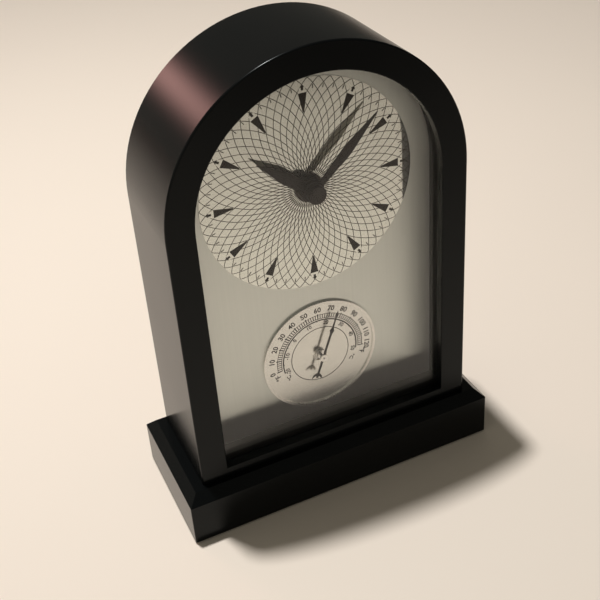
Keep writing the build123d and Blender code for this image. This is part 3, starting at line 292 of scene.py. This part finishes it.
SILVER_DULL = (229, 231, 223)
SILVER_BRIGHT = (238, 240, 232)
HAZE_SIZE = 9.0
HAZE_HEIGHT = 0.001
DIAL_TURN = 3.0
DIAL_LEAN = 0.82
INK = (38, 30, 19)
INK_THICKNESS = 0.02
INK_LAY = 0.5
INK_THIN = 1.25
LOOPS = 60
LOOP_TIP = 40.75
LOOP_ROOT = 5.5
LOOP_TURN = 40.0
LOOP_SOFTNESS = 0.9995
LOOP_SWELL = 0.13
LOOP_STEPS = 121
LINE_WIDTH = 0.23
HOUR_ANGLE = 30
MINUTE_ANGLE = 6
WEDGE_ENDS = (28.6, 35.7)
WEDGE_WIDTHS = (0.5, 3.2)
HALO_ENDS = (35.7, 37.6)
HALO_WIDTHS = (3.4, 2.04)
DASH_ENDS = (36.6, 38.3)
DASH_WIDTHS = (0.85, 0.85)
MINUTE_ENDS = (36.7, 38.1)
MINUTE_WIDTHS = (0.3, 0.3)

low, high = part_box("clock_dial")
dial_centre = ((low.x + high.x) / 2 / MM, (low.z + high.z) / 2 / MM)
dial_front = low.y / MM


def piece(name, points, faces, material, body):
    """A mesh piece of the object from arrays of points in millimetres, which rides on a body."""
    mesh = bpy.data.meshes.new(name)
    mesh.from_pydata((np.concatenate(points) * MM).tolist(), [], faces)
    mesh.materials.append(material)
    made = bpy.data.objects.new(name, mesh)
    bpy.context.scene.collection.objects.link(made)
    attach(made, body)
    return made


def polar(radius, angle, centre):
    """Points (x, z) at radii and clockwise angles from the top, in radians, seen from the front.

    x is the centre's x plus the radius times the angle's sine, and z the same with its cosine.
    """
    return np.stack([centre[0] + radius * np.sin(angle), centre[1] + radius * np.cos(angle)], -1)


def strips(paths, widths, back):
    """Printed strips along paths, as closed slabs of ink.

    A path is a row of (x, z) points. At each point the slab's section is a rectangle across the
    path: half the width to either side, and the ink's thickness towards the front. All paths have
    as many points, and each end is closed by the section's own rectangle.
    """
    ahead = np.gradient(paths, axis=1)
    ahead /= np.linalg.norm(ahead, axis=-1, keepdims=True)
    across = np.stack([-ahead[..., 1], ahead[..., 0]], -1) * widths[..., None] / 2
    left, right = paths + across, paths - across
    sides = np.stack([left, right, right, left], 2)
    front = back - INK_THICKNESS
    depth = np.broadcast_to([back, back, front, front], sides.shape[:3])
    points = np.stack([sides[..., 0], depth, sides[..., 1]], -1)
    count, steps = paths.shape[:2]
    first = np.arange(count * steps).reshape(count, steps, 1) * 4
    corner = np.arange(4)
    beside = (corner + 1) % 4
    here, there = first[:, :-1], first[:, 1:]
    quads = np.stack([here + corner, there + corner, there + beside, here + beside], -1)
    caps = np.concatenate([first[:, 0] + corner, first[:, -1] + corner[::-1]])
    return points.reshape(-1, 3), np.concatenate([quads.reshape(-1, 4), caps])


def dial_lattice():
    """Paths of the lattice's loops, and the loops' widths.

    Along a loop u runs from the root, up to the tip at a quarter turn and back to the root. The
    radius is a softened triangle wave of u, arcsin(k sin u) / arcsin(k), with a little of a plain
    sine in it, and the angle grows evenly with u.
    """
    u = np.linspace(-np.pi / 2, 3 * np.pi / 2, LOOP_STEPS)
    wave = np.arcsin(LOOP_SOFTNESS * np.sin(u)) / np.arcsin(LOOP_SOFTNESS)
    wave = (1 - LOOP_SWELL) * wave + LOOP_SWELL * np.sin(u)
    radius = (LOOP_TIP + LOOP_ROOT) / 2 + (LOOP_TIP - LOOP_ROOT) / 2 * wave
    tips = (np.arange(LOOPS)[:, None] + 0.5) * 2 * np.pi / LOOPS
    angle = tips + np.radians(LOOP_TURN) * (u / np.pi - 0.5)
    return polar(radius, angle, dial_centre), np.full(angle.shape, LINE_WIDTH)


def rays(angles, ends, widths, centre):
    """Paths of straight marks that point at a centre, and their widths, inner end first."""
    paths = polar(np.array(ends), np.radians(angles)[:, None], centre)
    return paths, np.broadcast_to(widths, paths.shape[:2])


def printed(name, groups, material, body):
    """One piece from several groups of strips, each laid on the depth that it gives."""
    points, faces, count = [], [], 0
    for paths, widths, back in groups:
        some_points, some_faces = strips(paths, widths, back)
        points.append(some_points)
        faces.append(some_faces + count)
        count += len(some_points)
    return piece(name, points, np.concatenate(faces).tolist(), material, body)


def polished_silver():
    """Silvered disc: a mirror with a slight milky haze, a little out of true with the plate.

    The bump's height is in millimetres: the haze, and a plane that rises with x and with z.
    """
    finish = Finish("polished_silver_dial")
    haze = finish.noise(HAZE_SIZE)
    turned = finish.along("X") * -np.tan(np.radians(DIAL_TURN))
    leant = finish.along("Z") * np.tan(np.radians(DIAL_LEAN))
    return finish.surface(
        Base_Color=finish.mix(haze, paint(SILVER_DULL), paint(SILVER_BRIGHT)),
        Metallic=0.92,
        Roughness=0.05 + 0.03 * haze,
        Normal=finish.bump(HAZE_HEIGHT * haze + turned + leant, 1.0),
    )


def printing_ink(name, colour):
    """Screen-printing ink: dull, and paler where it lies thin."""
    finish = Finish(name)
    lay = finish.noise(INK_LAY)
    return finish.surface(
        Base_Color=finish.mix(lay, paint(colour), paint(colour, INK_THIN)),
        Roughness=0.5 + 0.2 * lay,
        Specular_IOR_Level=0.15,
    )


silver = polished_silver()
brown_ink = printing_ink("brown_dial_ink", INK)
dress(silver, "clock_dial")

hours = np.arange(0, 360, HOUR_ANGLE)
minutes = np.setdiff1d(np.arange(0, 360, MINUTE_ANGLE), hours)
wedges = rays(hours, WEDGE_ENDS, WEDGE_WIDTHS, dial_centre)
halos = rays(hours, HALO_ENDS, HALO_WIDTHS, dial_centre)
dashes = rays(hours, DASH_ENDS, DASH_WIDTHS, dial_centre)
ticks = rays(minutes, MINUTE_ENDS, MINUTE_WIDTHS, dial_centre)
over = dial_front - INK_THICKNESS
marks = [(*wedges, over), (*dashes, over - INK_THICKNESS), (*ticks, over)]
printed("dial_lattice", [(*dial_lattice(), dial_front)], brown_ink, "case")
printed("dial_halos", [(*halos, over)], silver, "case")
printed("dial_marks", marks, brown_ink, "case")


# Hands: stamped from brass sheet and painted a dark bronze, pressed on the hour tube and the minute
# arbor. A domed cap nut in the same paint holds the minute hand, and the thermometer's pointer is
# made as the hands are.

BRONZE_DARK = (32, 25, 20)
BRONZE_PALE = (42, 33, 27)
BRONZE_CLOUD = 7.0
BARE_METAL = (176, 171, 162)
BACK_FACING = 0.8


def dark_bronze_paint():
    """Satin paint over a stamped blank, whose back is left bare grey metal."""
    finish = Finish("dark_bronze_satin")
    shade = finish.noise(BRONZE_CLOUD, detail=2.0)
    facing = finish.node("TexCoord", output="Normal")
    bare = finish.node("SeparateXYZ", {}, {0: facing}, "Y") > BACK_FACING
    painted = finish.mix(shade, paint(BRONZE_DARK), paint(BRONZE_PALE))
    return finish.surface(
        Base_Color=finish.mix(bare, painted, paint(BARE_METAL)),
        Metallic=bare,
        Roughness=0.44 + 0.08 * shade,
        Specular_IOR_Level=0.3,
    )


dress(dark_bronze_paint(), "hour_hand", "minute_hand", "cap_nut", "pointer")


# Thermometer scale: a thin silvered disc of its own on the plate. Its middle is left mirror-bright,
# and its band is coated a pale satin and printed with a Fahrenheit and a Celsius scale.

BAND_PALE = (246, 245, 239)
MIDDLE_DULL = (212, 212, 206)
MIDDLE_BRIGHT = (224, 223, 217)
MIDDLE_HAZE = 6.0
MIDDLE_HAZE_DEPTH = 0.001
SCALE_INK = (24, 20, 14)
FAHRENHEIT_END = 97.3
FAHRENHEIT_TOP = 120
CELSIUS_ZERO = -45.5
CELSIUS_BOTTOM = -20
CELSIUS_TOP = 50
DEGREES_PER_FAHRENHEIT = 2 * FAHRENHEIT_END / FAHRENHEIT_TOP
DEGREES_PER_CELSIUS = 1.8 * DEGREES_PER_FAHRENHEIT
BAND_INNER = 12.1
BAND_LINE_WIDTH = 0.28
LADDER_ENDS = (16.3, 18.1)
LADDER_LINE_WIDTH = 0.2
CELSIUS_ARC = 15.55
CELSIUS_ARC_WIDTH = 0.5
ARC_STEPS = 120
TICK_WIDTHS = (0.32, 0.32)
LONG_TICK_ENDS = (16.3, 18.6)
LONG_TICK_WIDTHS = (0.42, 0.42)
CELSIUS_TICK_ENDS = (15.0, 15.55)
FAHRENHEIT_NUMBERS = 20.4
CELSIUS_NUMBERS = 14.2
NUMBER_HEIGHT = 2.1
SMALL_NUMBER_HEIGHT = 1.6
NUMBER_WEIGHT = 0.03
FAHRENHEIT_MARK = (18.8, 105.8)
CELSIUS_MARK = (15.0, 116.0)
CAPITAL_SHARE = 0.7
LETTER_CURVE_STEPS = 3
MERGED_WITHIN = 0.001

low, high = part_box("thermometer_scale")
scale_centre = ((low.x + high.x) / 2 / MM, (low.z + high.z) / 2 / MM)
scale_front = low.y / MM


def scale_face():
    """Pale satin band round a mirror-bright middle."""
    finish = Finish("thermometer_scale_face")
    band = finish.round_from(scale_centre) > BAND_INNER
    haze = finish.noise(MIDDLE_HAZE)
    middle = finish.mix(haze, paint(MIDDLE_DULL), paint(MIDDLE_BRIGHT))
    return finish.surface(
        Base_Color=finish.mix(band, middle, paint(BAND_PALE)),
        Metallic=1.0 - 0.25 * band,
        Roughness=0.18 + 0.08 * band,
        Normal=finish.bump(haze, MIDDLE_HAZE_DEPTH),
    )


def arc(radius, start, end, width):
    """Path of one printed arc between two clockwise angles from the top, in degrees."""
    angle = np.radians(np.linspace(start, end, ARC_STEPS))[None]
    return polar(radius, angle, scale_centre), np.full(angle.shape, width)


def fahrenheit(value):
    """Clockwise angle of a temperature on the outer scale, in degrees from the top."""
    return value * DEGREES_PER_FAHRENHEIT - FAHRENHEIT_END


def celsius(value):
    """Clockwise angle of a temperature on the inner scale, in degrees from the top."""
    return value * DEGREES_PER_CELSIUS + CELSIUS_ZERO


def lettering(name, words, material, body):
    """One piece of flat letters on the scale, each word with its foot towards the centre.

    A word is (text, height, radius, angle). A point of it that lies s to the side of its middle
    and u above it goes to the radius plus u outwards and s clockwise, turned by the angle.
    """
    points, faces, count = [], [], 0
    for text, height, radius, angle in words:
        curve = bpy.data.curves.new("word", "FONT")
        curve.body = text
        curve.size = height / CAPITAL_SHARE
        curve.align_x = "CENTER"
        curve.resolution_u = LETTER_CURVE_STEPS
        curve.offset = height * NUMBER_WEIGHT
        curve.extrude = INK_THICKNESS / 2
        drawn = bpy.data.objects.new("word", curve)
        bpy.context.scene.collection.objects.link(drawn)
        bpy.context.view_layer.update()
        flat = bpy.data.meshes.new_from_object(drawn)
        shape = np.array([corner.co for corner in flat.vertices])
        turn = np.radians(angle)
        out = radius + shape[:, 1] - height / 2
        x = scale_centre[0] + out * np.sin(turn) + shape[:, 0] * np.cos(turn)
        z = scale_centre[1] + out * np.cos(turn) - shape[:, 0] * np.sin(turn)
        y = scale_front - INK_THICKNESS / 2 - shape[:, 2]
        points.append(np.stack([x, y, z], -1))
        faces += [[count + corner for corner in face.vertices] for face in flat.polygons]
        count += len(shape)
        bpy.data.objects.remove(drawn)
        bpy.data.curves.remove(curve)
    made = piece(name, points, faces, material, body)
    letters = bmesh.new()
    letters.from_mesh(made.data)
    bmesh.ops.remove_doubles(letters, verts=letters.verts, dist=MERGED_WITHIN * MM)
    bmesh.ops.dissolve_degenerate(letters, edges=letters.edges, dist=MERGED_WITHIN * MM)
    bmesh.ops.recalc_face_normals(letters, faces=letters.faces)
    letters.to_mesh(made.data)
    letters.free()


scale_ink = printing_ink("brown_scale_ink", SCALE_INK)
dress(scale_face(), "thermometer_scale")

tens = np.arange(0, FAHRENHEIT_TOP + 1, 10)
twos = np.setdiff1d(np.arange(0, FAHRENHEIT_TOP + 1, 2), tens)
celsius_fives = np.arange(CELSIUS_BOTTOM, CELSIUS_TOP + 1, 5)
celsius_tens = np.arange(CELSIUS_BOTTOM, CELSIUS_TOP + 1, 10)
ladder_inner, ladder_outer = LADDER_ENDS
lines = [
    arc(ladder_outer, -FAHRENHEIT_END, FAHRENHEIT_END, LADDER_LINE_WIDTH),
    arc(ladder_inner, -FAHRENHEIT_END, FAHRENHEIT_END, LADDER_LINE_WIDTH),
    arc(CELSIUS_ARC, celsius(CELSIUS_BOTTOM), celsius(CELSIUS_TOP), CELSIUS_ARC_WIDTH),
    arc(BAND_INNER, 0, 360, BAND_LINE_WIDTH),
    rays(fahrenheit(tens), LONG_TICK_ENDS, LONG_TICK_WIDTHS, scale_centre),
    rays(fahrenheit(twos), LADDER_ENDS, TICK_WIDTHS, scale_centre),
    rays(celsius(celsius_fives), CELSIUS_TICK_ENDS, TICK_WIDTHS, scale_centre),
]
laid = [(paths, widths, scale_front) for paths, widths in lines]
printed("scale_lines", laid, scale_ink, "case")

words = [(str(t), NUMBER_HEIGHT, FAHRENHEIT_NUMBERS, fahrenheit(t)) for t in tens]
words += [(str(t), SMALL_NUMBER_HEIGHT, CELSIUS_NUMBERS, celsius(t)) for t in celsius_tens]
for side in (-1, 1):
    for text, height, (radius, angle) in (
        ("°F", NUMBER_HEIGHT, FAHRENHEIT_MARK),
        ("°C", SMALL_NUMBER_HEIGHT, CELSIUS_MARK),
    ):
        words.append((text, height, radius, side * angle))
lettering("scale_numbers", words, scale_ink, "case")


# Thermometer's metalwork: a thin bright rim round the scale, the bridge with its pivot bush, and
# the collar that holds the pointer on its arbor, all nickel-plated and polished.

PLATING_DULL = (222, 221, 216)
PLATING_BRIGHT = (238, 236, 230)
RUBBING_SIZE = 0.4


def bright_chrome():
    """Polished plating with hair-fine rubbing marks."""
    finish = Finish("bright_chrome_polished")
    rubbing = finish.noise(RUBBING_SIZE)
    return finish.surface(
        Base_Color=finish.mix(rubbing, paint(PLATING_DULL), paint(PLATING_BRIGHT)),
        Metallic=1.0,
        Roughness=0.22 + 0.1 * rubbing,
    )


dress(bright_chrome(), "thermometer_rim", "pivot_bridge", "pointer_collar")


# Wood inside: two upright battens, a crown block and a block on the floor, of plain sawn softwood,
# glued into the case. The floor block's grain lies from side to side, and the others' upright.

WOOD_RING = (150, 112, 72)
WOOD_PALE = (205, 172, 124)
UPRIGHT_GRAIN = (1.6, 1.6, 30.0)
LEVEL_GRAIN = (30.0, 1.6, 1.6)
FIBRES_PER_RING = 8
RING_CONTRAST = 6
SAWN_DEPTH = 0.08


def bare_wood(name, grain):
    """Sawn softwood: pale early wood between thin darker rings, drawn out along the grain."""
    finish = Finish(name)
    rings = finish.noise(grain, roughness=0.6)
    fibre = finish.noise(np.array(grain) / FIBRES_PER_RING)
    early = abs(rings - 0.5) * RING_CONTRAST
    return finish.surface(
        Base_Color=finish.mix(early, paint(WOOD_RING), paint(WOOD_PALE)),
        Roughness=0.6 + 0.15 * fibre,
        Normal=finish.bump(fibre, SAWN_DEPTH),
    )


dress(bare_wood("bare_wood_upright", UPRIGHT_GRAIN), "corner_blocks")
dress(bare_wood("bare_wood_level", LEVEL_GRAIN), "floor_block")


# Backing board and back panel: brown hardboard, pressed smooth. The board stiffens the dial plate
# and carries the movement, and the panel closes the back, with a window for the knob and the cell.

BOARD_DARK = (84, 58, 38)
BOARD_PALE = (136, 100, 68)
BOARD_FIBRE = (0.3, 0.3, 2.2)
BOARD_FIBRE_SHARE = 0.6
BOARD_FIBRE_DEPTH = 0.05
BLOTCH_SIZE = 8.0


def fibreboard():
    """Pressed hardboard: short fibres over soft blotches."""
    finish = Finish("fibreboard_brown")
    fibre = finish.noise(BOARD_FIBRE, detail=4.0, roughness=0.7)
    blotches = finish.noise(BLOTCH_SIZE)
    pressed = fibre * BOARD_FIBRE_SHARE + blotches * (1 - BOARD_FIBRE_SHARE)
    return finish.surface(
        Base_Color=finish.mix(pressed, paint(BOARD_DARK), paint(BOARD_PALE)),
        Roughness=0.62 + 0.15 * fibre,
        Normal=finish.bump(fibre, BOARD_FIBRE_DEPTH),
    )


dress(fibreboard(), "backing_board", "back_panel")


# Screws: steel with a bright zinc plating, their recesses pressed in. They hold the case on the
# plinth, the panel on the back, and the movement's cover on its housing.

ZINC = (200, 200, 196)
MARK_SIZE = 0.6
MARK_SHADE = 0.86
MARK_DEPTH = 0.004


def plated_metal(name, colour, roughness, marks=MARK_SIZE):
    """Plain metal with fine uneven marks from its making."""
    finish = Finish(name)
    texture = finish.noise(marks, roughness=0.6)
    return finish.surface(
        Base_Color=finish.mix(texture, paint(colour, MARK_SHADE), paint(colour)),
        Metallic=1.0,
        Roughness=roughness + 0.12 * texture,
        Normal=finish.bump(texture, MARK_DEPTH),
    )


zinc_plating = plated_metal("zinc_screw_bright", ZINC, roughness=0.3)
dress(zinc_plating, "case_screws", "panel_screws", "movement_screws")


# Quartz movement: a black moulded housing and cover, with a rubber gasket in front and a brass bush
# and nut that clamp it to the dial plate. The knob at the back sets the hands. The thermometer's
# coil has a turned brass cup and collet.

HOUSING_BLACK = (36, 36, 37)
KNOB_BLACK = (30, 30, 31)
RESIN_BLACK = (24, 24, 24)
RUBBER_BLACK = (34, 33, 32)
BLACKENED_BRASS = (70, 64, 58)
TURNED_BRASS = (214, 176, 104)

dress(
    moulded_plastic("black_plastic_grained", HOUSING_BLACK, roughness=0.42, grain=0.5, depth=0.03),
    "movement_housing",
    "movement_cover",
)
dress(
    moulded_plastic("black_plastic_knob", KNOB_BLACK, roughness=0.36, grain=0.4, depth=0.01),
    "setting_knob",
)
dress(
    moulded_plastic("black_resin_chip", RESIN_BLACK, roughness=0.3, grain=0.8, depth=0.05),
    "clock_chip",
)
dress(
    moulded_plastic("gasket_rubber_soft", RUBBER_BLACK, roughness=0.75, grain=0.3, depth=0.02),
    "movement_gasket",
)
dress(
    plated_metal("brass_blackened", BLACKENED_BRASS, roughness=0.34),
    "mounting_bush",
    "dial_washer",
    "dial_nut",
)
dress(
    plated_metal("brass_turned", TURNED_BRASS, roughness=0.22),
    "thermometer_cup",
    "coil_collet",
)


# Train inside the movement: wheels and pinions moulded in natural acetal, on a plate of the same,
# as is the motor's bobbin. The minute arbor, its washer and the pointer's arbor are turned steel.

ACETAL_WHITE = (228, 224, 212)
ARBOR_STEEL = (176, 176, 176)

dress(
    moulded_plastic("white_plastic_acetal", ACETAL_WHITE, roughness=0.38, grain=0.6, depth=0.008),
    "train_plate",
    "hour_wheel",
    "centre_wheel",
    "third_wheel",
    "seconds_wheel",
    "intermediate_wheel",
    "rotor_pinion",
    "motion_wheel",
    "setting_shaft",
    "coil_bobbin",
)
dress(
    plated_metal("arbor_steel_turned", ARBOR_STEEL, roughness=0.2),
    "minute_arbor",
    "clutch_washer",
    "pointer_arbor",
)


# Motor and electrics: a ferrite rotor, a soft-iron stator and core, a coil of enamelled copper
# wire, a small circuit board, a quartz can, two nickel-plated contacts and the cell. With them is
# the thermometer's own coil, of rolled bimetal strip.

COPPER_DARK = (128, 58, 30)
COPPER_BRIGHT = (188, 98, 54)
COPPER_CLOUD = (0.4, 2.0, 2.0)
WIRE_PITCH = 0.16
WIRE_DEPTH = 0.03
RESIST_GREEN = (22, 70, 42)
TRACK_GREEN = (58, 122, 66)
TRACK_SIZE = (3.0, 3.0, 0.5)
TRACK_HALF = 0.035
TRACK_DEPTH = 0.03
CAN_STEEL = (196, 196, 192)
JACKET_BLUE = (40, 76, 112)
JACKET_STRIPE = (206, 208, 206)
JACKET_GAPS = (1.2, 2.2)
STRIPE_SHARES = (0.68, 0.72)
WEAR_SIZE = 1.0
NICKEL = (206, 202, 192)
SOFT_IRON = (150, 150, 152)
FERRITE = (58, 58, 60)
BIMETAL = (196, 172, 120)
ROLLED_MARKS = (0.3, 3.0, 0.3)


def copper_wire():
    """Coil of fine enamelled wire, wound side by side along x: its height is a sine of x."""
    finish = Finish("copper_wire_wound")
    phase = finish.along("X") * (2 * np.pi / WIRE_PITCH)
    turns = finish.node("Math", {"operation": "SINE"}, {0: phase})
    shade = finish.noise(COPPER_CLOUD)
    return finish.surface(
        Base_Color=finish.mix(shade, paint(COPPER_DARK), paint(COPPER_BRIGHT)),
        Metallic=0.85,
        Roughness=0.28,
        Normal=finish.bump(turns, WIRE_DEPTH),
    )


def circuit_green():
    """Green board: solder resist over copper tracks in steps along the board."""
    finish = Finish("circuit_board_green")
    tracks = finish.noise(TRACK_SIZE, detail=0.0)
    copper = abs(tracks - 0.5) < TRACK_HALF
    return finish.surface(
        Base_Color=finish.mix(copper, paint(RESIST_GREEN), paint(TRACK_GREEN)),
        Roughness=0.4 - 0.1 * copper,
        Normal=finish.bump(copper, TRACK_DEPTH),
    )


def battery_jacket():
    """Steel can in a printed jacket that leaves both ends bare, with one stripe round it."""
    low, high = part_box("battery")
    length = (high.x - low.x) / MM
    finish = Finish("battery_jacket_printed")
    along = finish.along("X", low.x / MM)
    jacket = (along > JACKET_GAPS[0]) * (along < length - JACKET_GAPS[1])
    stripe = (along > length * STRIPE_SHARES[0]) * (along < length * STRIPE_SHARES[1])
    jacket_print = finish.mix(stripe, paint(JACKET_BLUE), paint(JACKET_STRIPE))
    return finish.surface(
        Base_Color=finish.mix(jacket, paint(CAN_STEEL), jacket_print),
        Metallic=1.0 - 0.6 * jacket,
        Roughness=0.24 + 0.1 * finish.noise(WEAR_SIZE, detail=2.0),
    )


dress(copper_wire(), "coil_winding")
dress(circuit_green(), "circuit_board")
dress(battery_jacket(), "battery")
dress(
    plated_metal("nickel_plating", NICKEL, roughness=0.25),
    "positive_contact",
    "negative_contact",
    "quartz_crystal",
)
dress(plated_metal("soft_iron_sheet", SOFT_IRON, roughness=0.35), "stator", "coil_core")
dress(plated_metal("magnet_grey_ferrite", FERRITE, roughness=0.5), "rotor_magnet")
dress(
    plated_metal("bimetal_strip_rolled", BIMETAL, roughness=0.25, marks=ROLLED_MARKS),
    "bimetal_coil",
)


# Table and light: a pale warm table top, with a pool of lamp light and a shadow painted into its
# colour, one small lamp high above it, a little behind and to the left of the clock, and the dim
# even light of the room.

TABLE = (254, 242, 229)
TABLE_SIZE = 8000.0
PATCH_SIZE = 260.0
PATCH_SHADE = 0.985
# Painted light: a pool of the lamp's light in the table's colour, palest at its middle.
LIGHT_POOL_PLACE = (-80.0, 250.0)
LIGHT_POOL_REACH = (500.0, 560.0)
LIGHT_POOL_EDGE = 0.6
# Painted shadow in the table's colour, as of someone sitting in front of the clock: a dark disc
# inside a wider, paler one.
PAINTED_SHADOW_PLACE = (201.0, -439.0)
PAINTED_SHADOW_START = 50.0
PAINTED_SHADOW_END = 150.0
PAINTED_SHADOW_SHARE = 0.2
DIM_END = 360.0
DIM_SHADE = 0.68
UNLIT = (0.0, 0.0, 0.0, 1.0)
LAMP_PLACE = (-158.0, 216.0, 1574.0)
LAMP_WIDTH = 100.0
LAMP_POWER = 19.9
LAMP_COLOUR = (1.0, 0.985, 0.96)
ROOM_LEFT = 0.31
ROOM_RIGHT = 0.04
ROOM_SHADE = (1.0, 0.95, 0.8)
ROSE = (8.6, 4.5, 4.0)
GLOW_TOWARD = (-0.38, 0.88, 0.31)
GLOW_FALL = 200.0


def rising(finish, away, start, end, shade):
    """A share that is a shade up to one distance and rises evenly to 1 at another."""
    return finish.node("MapRange", {}, {0: away, 1: start, 2: end, 3: shade, 4: 1.0})


def table_top():
    """Pale smooth table, with a pool of lamp light painted into its colour, palest under the lamp.
    Mirrors see a painted shadow on it, as of someone sitting in front of the clock.

    The painted pool falls off as 1 / (1 + a squared + b squared), where a and b are the distances
    from its middle along x and y over its reach. The painted shadow is two discs with soft edges
    round a point, and every ray but a camera ray sees it.
    """
    finish = Finish("table_top_pale")
    patches = finish.noise(PATCH_SIZE)
    # Painted light: the colour falls off away from the pool's middle under the lamp.
    aside = finish.along("X", LIGHT_POOL_PLACE[0]) / LIGHT_POOL_REACH[0]
    behind = finish.along("Y", LIGHT_POOL_PLACE[1]) / LIGHT_POOL_REACH[1]
    pool = LIGHT_POOL_EDGE + (1 - LIGHT_POOL_EDGE) / (1 + aside * aside + behind * behind)
    # Painted shadow, as of someone sitting in front of the clock, which every ray but a camera ray
    # sees.
    away = finish.round_from(PAINTED_SHADOW_PLACE, "XY")
    dim = rising(finish, away, PAINTED_SHADOW_END, DIM_END, DIM_SHADE)
    painted_shadow = rising(finish, away, PAINTED_SHADOW_START, PAINTED_SHADOW_END, PAINTED_SHADOW_SHARE)
    straight = finish.node("LightPath", output="Is Camera Ray")
    painted_shade_for_mirrors = straight + (1 - straight) * dim * painted_shadow
    colour = finish.mix(patches, paint(TABLE, PATCH_SHADE), paint(TABLE))
    return finish.surface(
        # The table's colour fades towards black by the painted light and the painted shadow.
        Base_Color=finish.mix(pool * painted_shade_for_mirrors, UNLIT, colour),
        Roughness=0.6,
        Specular_IOR_Level=0.2,
    )


def room_light():
    """Dim light, stronger from the open left side, with a rosy glow low behind the clock's left.

    The dim light goes evenly with x from left to right. The glow is a high power of the cosine
    between a direction and the glow's own, so it is narrow and has a soft edge.
    """
    finish = Finish("room", bpy.data.worlds)
    toward = finish.node("TexCoord", output="Generated")
    left = 0.5 - 0.5 * finish.node("SeparateXYZ", {}, {0: toward})
    even = ROOM_RIGHT + (ROOM_LEFT - ROOM_RIGHT) * left
    sockets = {0: toward, 1: Vector(GLOW_TOWARD).normalized()}
    facing = finish.node("VectorMath", {"operation": "DOT_PRODUCT"}, sockets, "Value")
    power = {"operation": "POWER", "use_clamp": True}
    glow = finish.node("Math", power, {0: facing, 1: GLOW_FALL})
    red, green, blue = (shade * even + rose * glow for shade, rose in zip(ROOM_SHADE, ROSE))
    lit = finish.node("CombineColor", {}, {0: red, 1: green, 2: blue})
    shader = finish.node("Background", {}, {"Color": lit})
    finish.node("OutputWorld", {}, {"Surface": shader})
    return finish.block


half = TABLE_SIZE / 2 * MM
corners = [(-half, -half, 0), (half, -half, 0), (half, half, 0), (-half, half, 0)]
table_mesh = bpy.data.meshes.new("table")
table_mesh.from_pydata(corners, [], [(0, 1, 2, 3)])
table_mesh.materials.append(table_top())
table = bpy.data.objects.new("table", table_mesh)
bpy.context.scene.collection.objects.link(table)

lamp_light = bpy.data.lights.new("lamp", "AREA")
lamp_light.shape = "DISK"
lamp_light.size = LAMP_WIDTH * MM
lamp_light.energy = LAMP_POWER
lamp_light.color = LAMP_COLOUR
lamp = bpy.data.objects.new("lamp", lamp_light)
lamp.location = Vector(LAMP_PLACE) * MM
lamp.rotation_mode = "QUATERNION"
lamp.rotation_quaternion = lamp.location.to_track_quat("Z", "Y")
bpy.context.scene.collection.objects.link(lamp)

bpy.context.scene.world = room_light()
bpy.context.scene.view_settings.view_transform = "Standard"


# Camera: in front of the clock, above it and to its left, looking down at it and turned a little
# about its own line of sight.

CAMERA_PLACE = (-128.3, -300.7, 302.8)
CAMERA_TURN = 22.88
CAMERA_TILT = 31.69
CAMERA_ROLL = -4.34
CAMERA_LENS = 62.57
CAMERA_SENSOR = 36.0
CAMERA_SHIFT = -0.1
CAMERA_NEAR = 10.0

camera_data = bpy.data.cameras.new("camera")
camera_data.lens = CAMERA_LENS
camera_data.sensor_width = CAMERA_SENSOR
camera_data.shift_y = CAMERA_SHIFT
camera_data.clip_start = CAMERA_NEAR * MM
camera = bpy.data.objects.new("camera", camera_data)
turned = Matrix.Rotation(-np.radians(CAMERA_TURN), 4, "Z")
tilted = Matrix.Rotation(np.radians(90 - CAMERA_TILT), 4, "X")
rolled = Matrix.Rotation(np.radians(CAMERA_ROLL), 4, "Z")
camera.matrix_world = Matrix.Translation(Vector(CAMERA_PLACE) * MM) @ turned @ tilted @ rolled
bpy.context.scene.collection.objects.link(camera)
bpy.context.scene.camera = camera
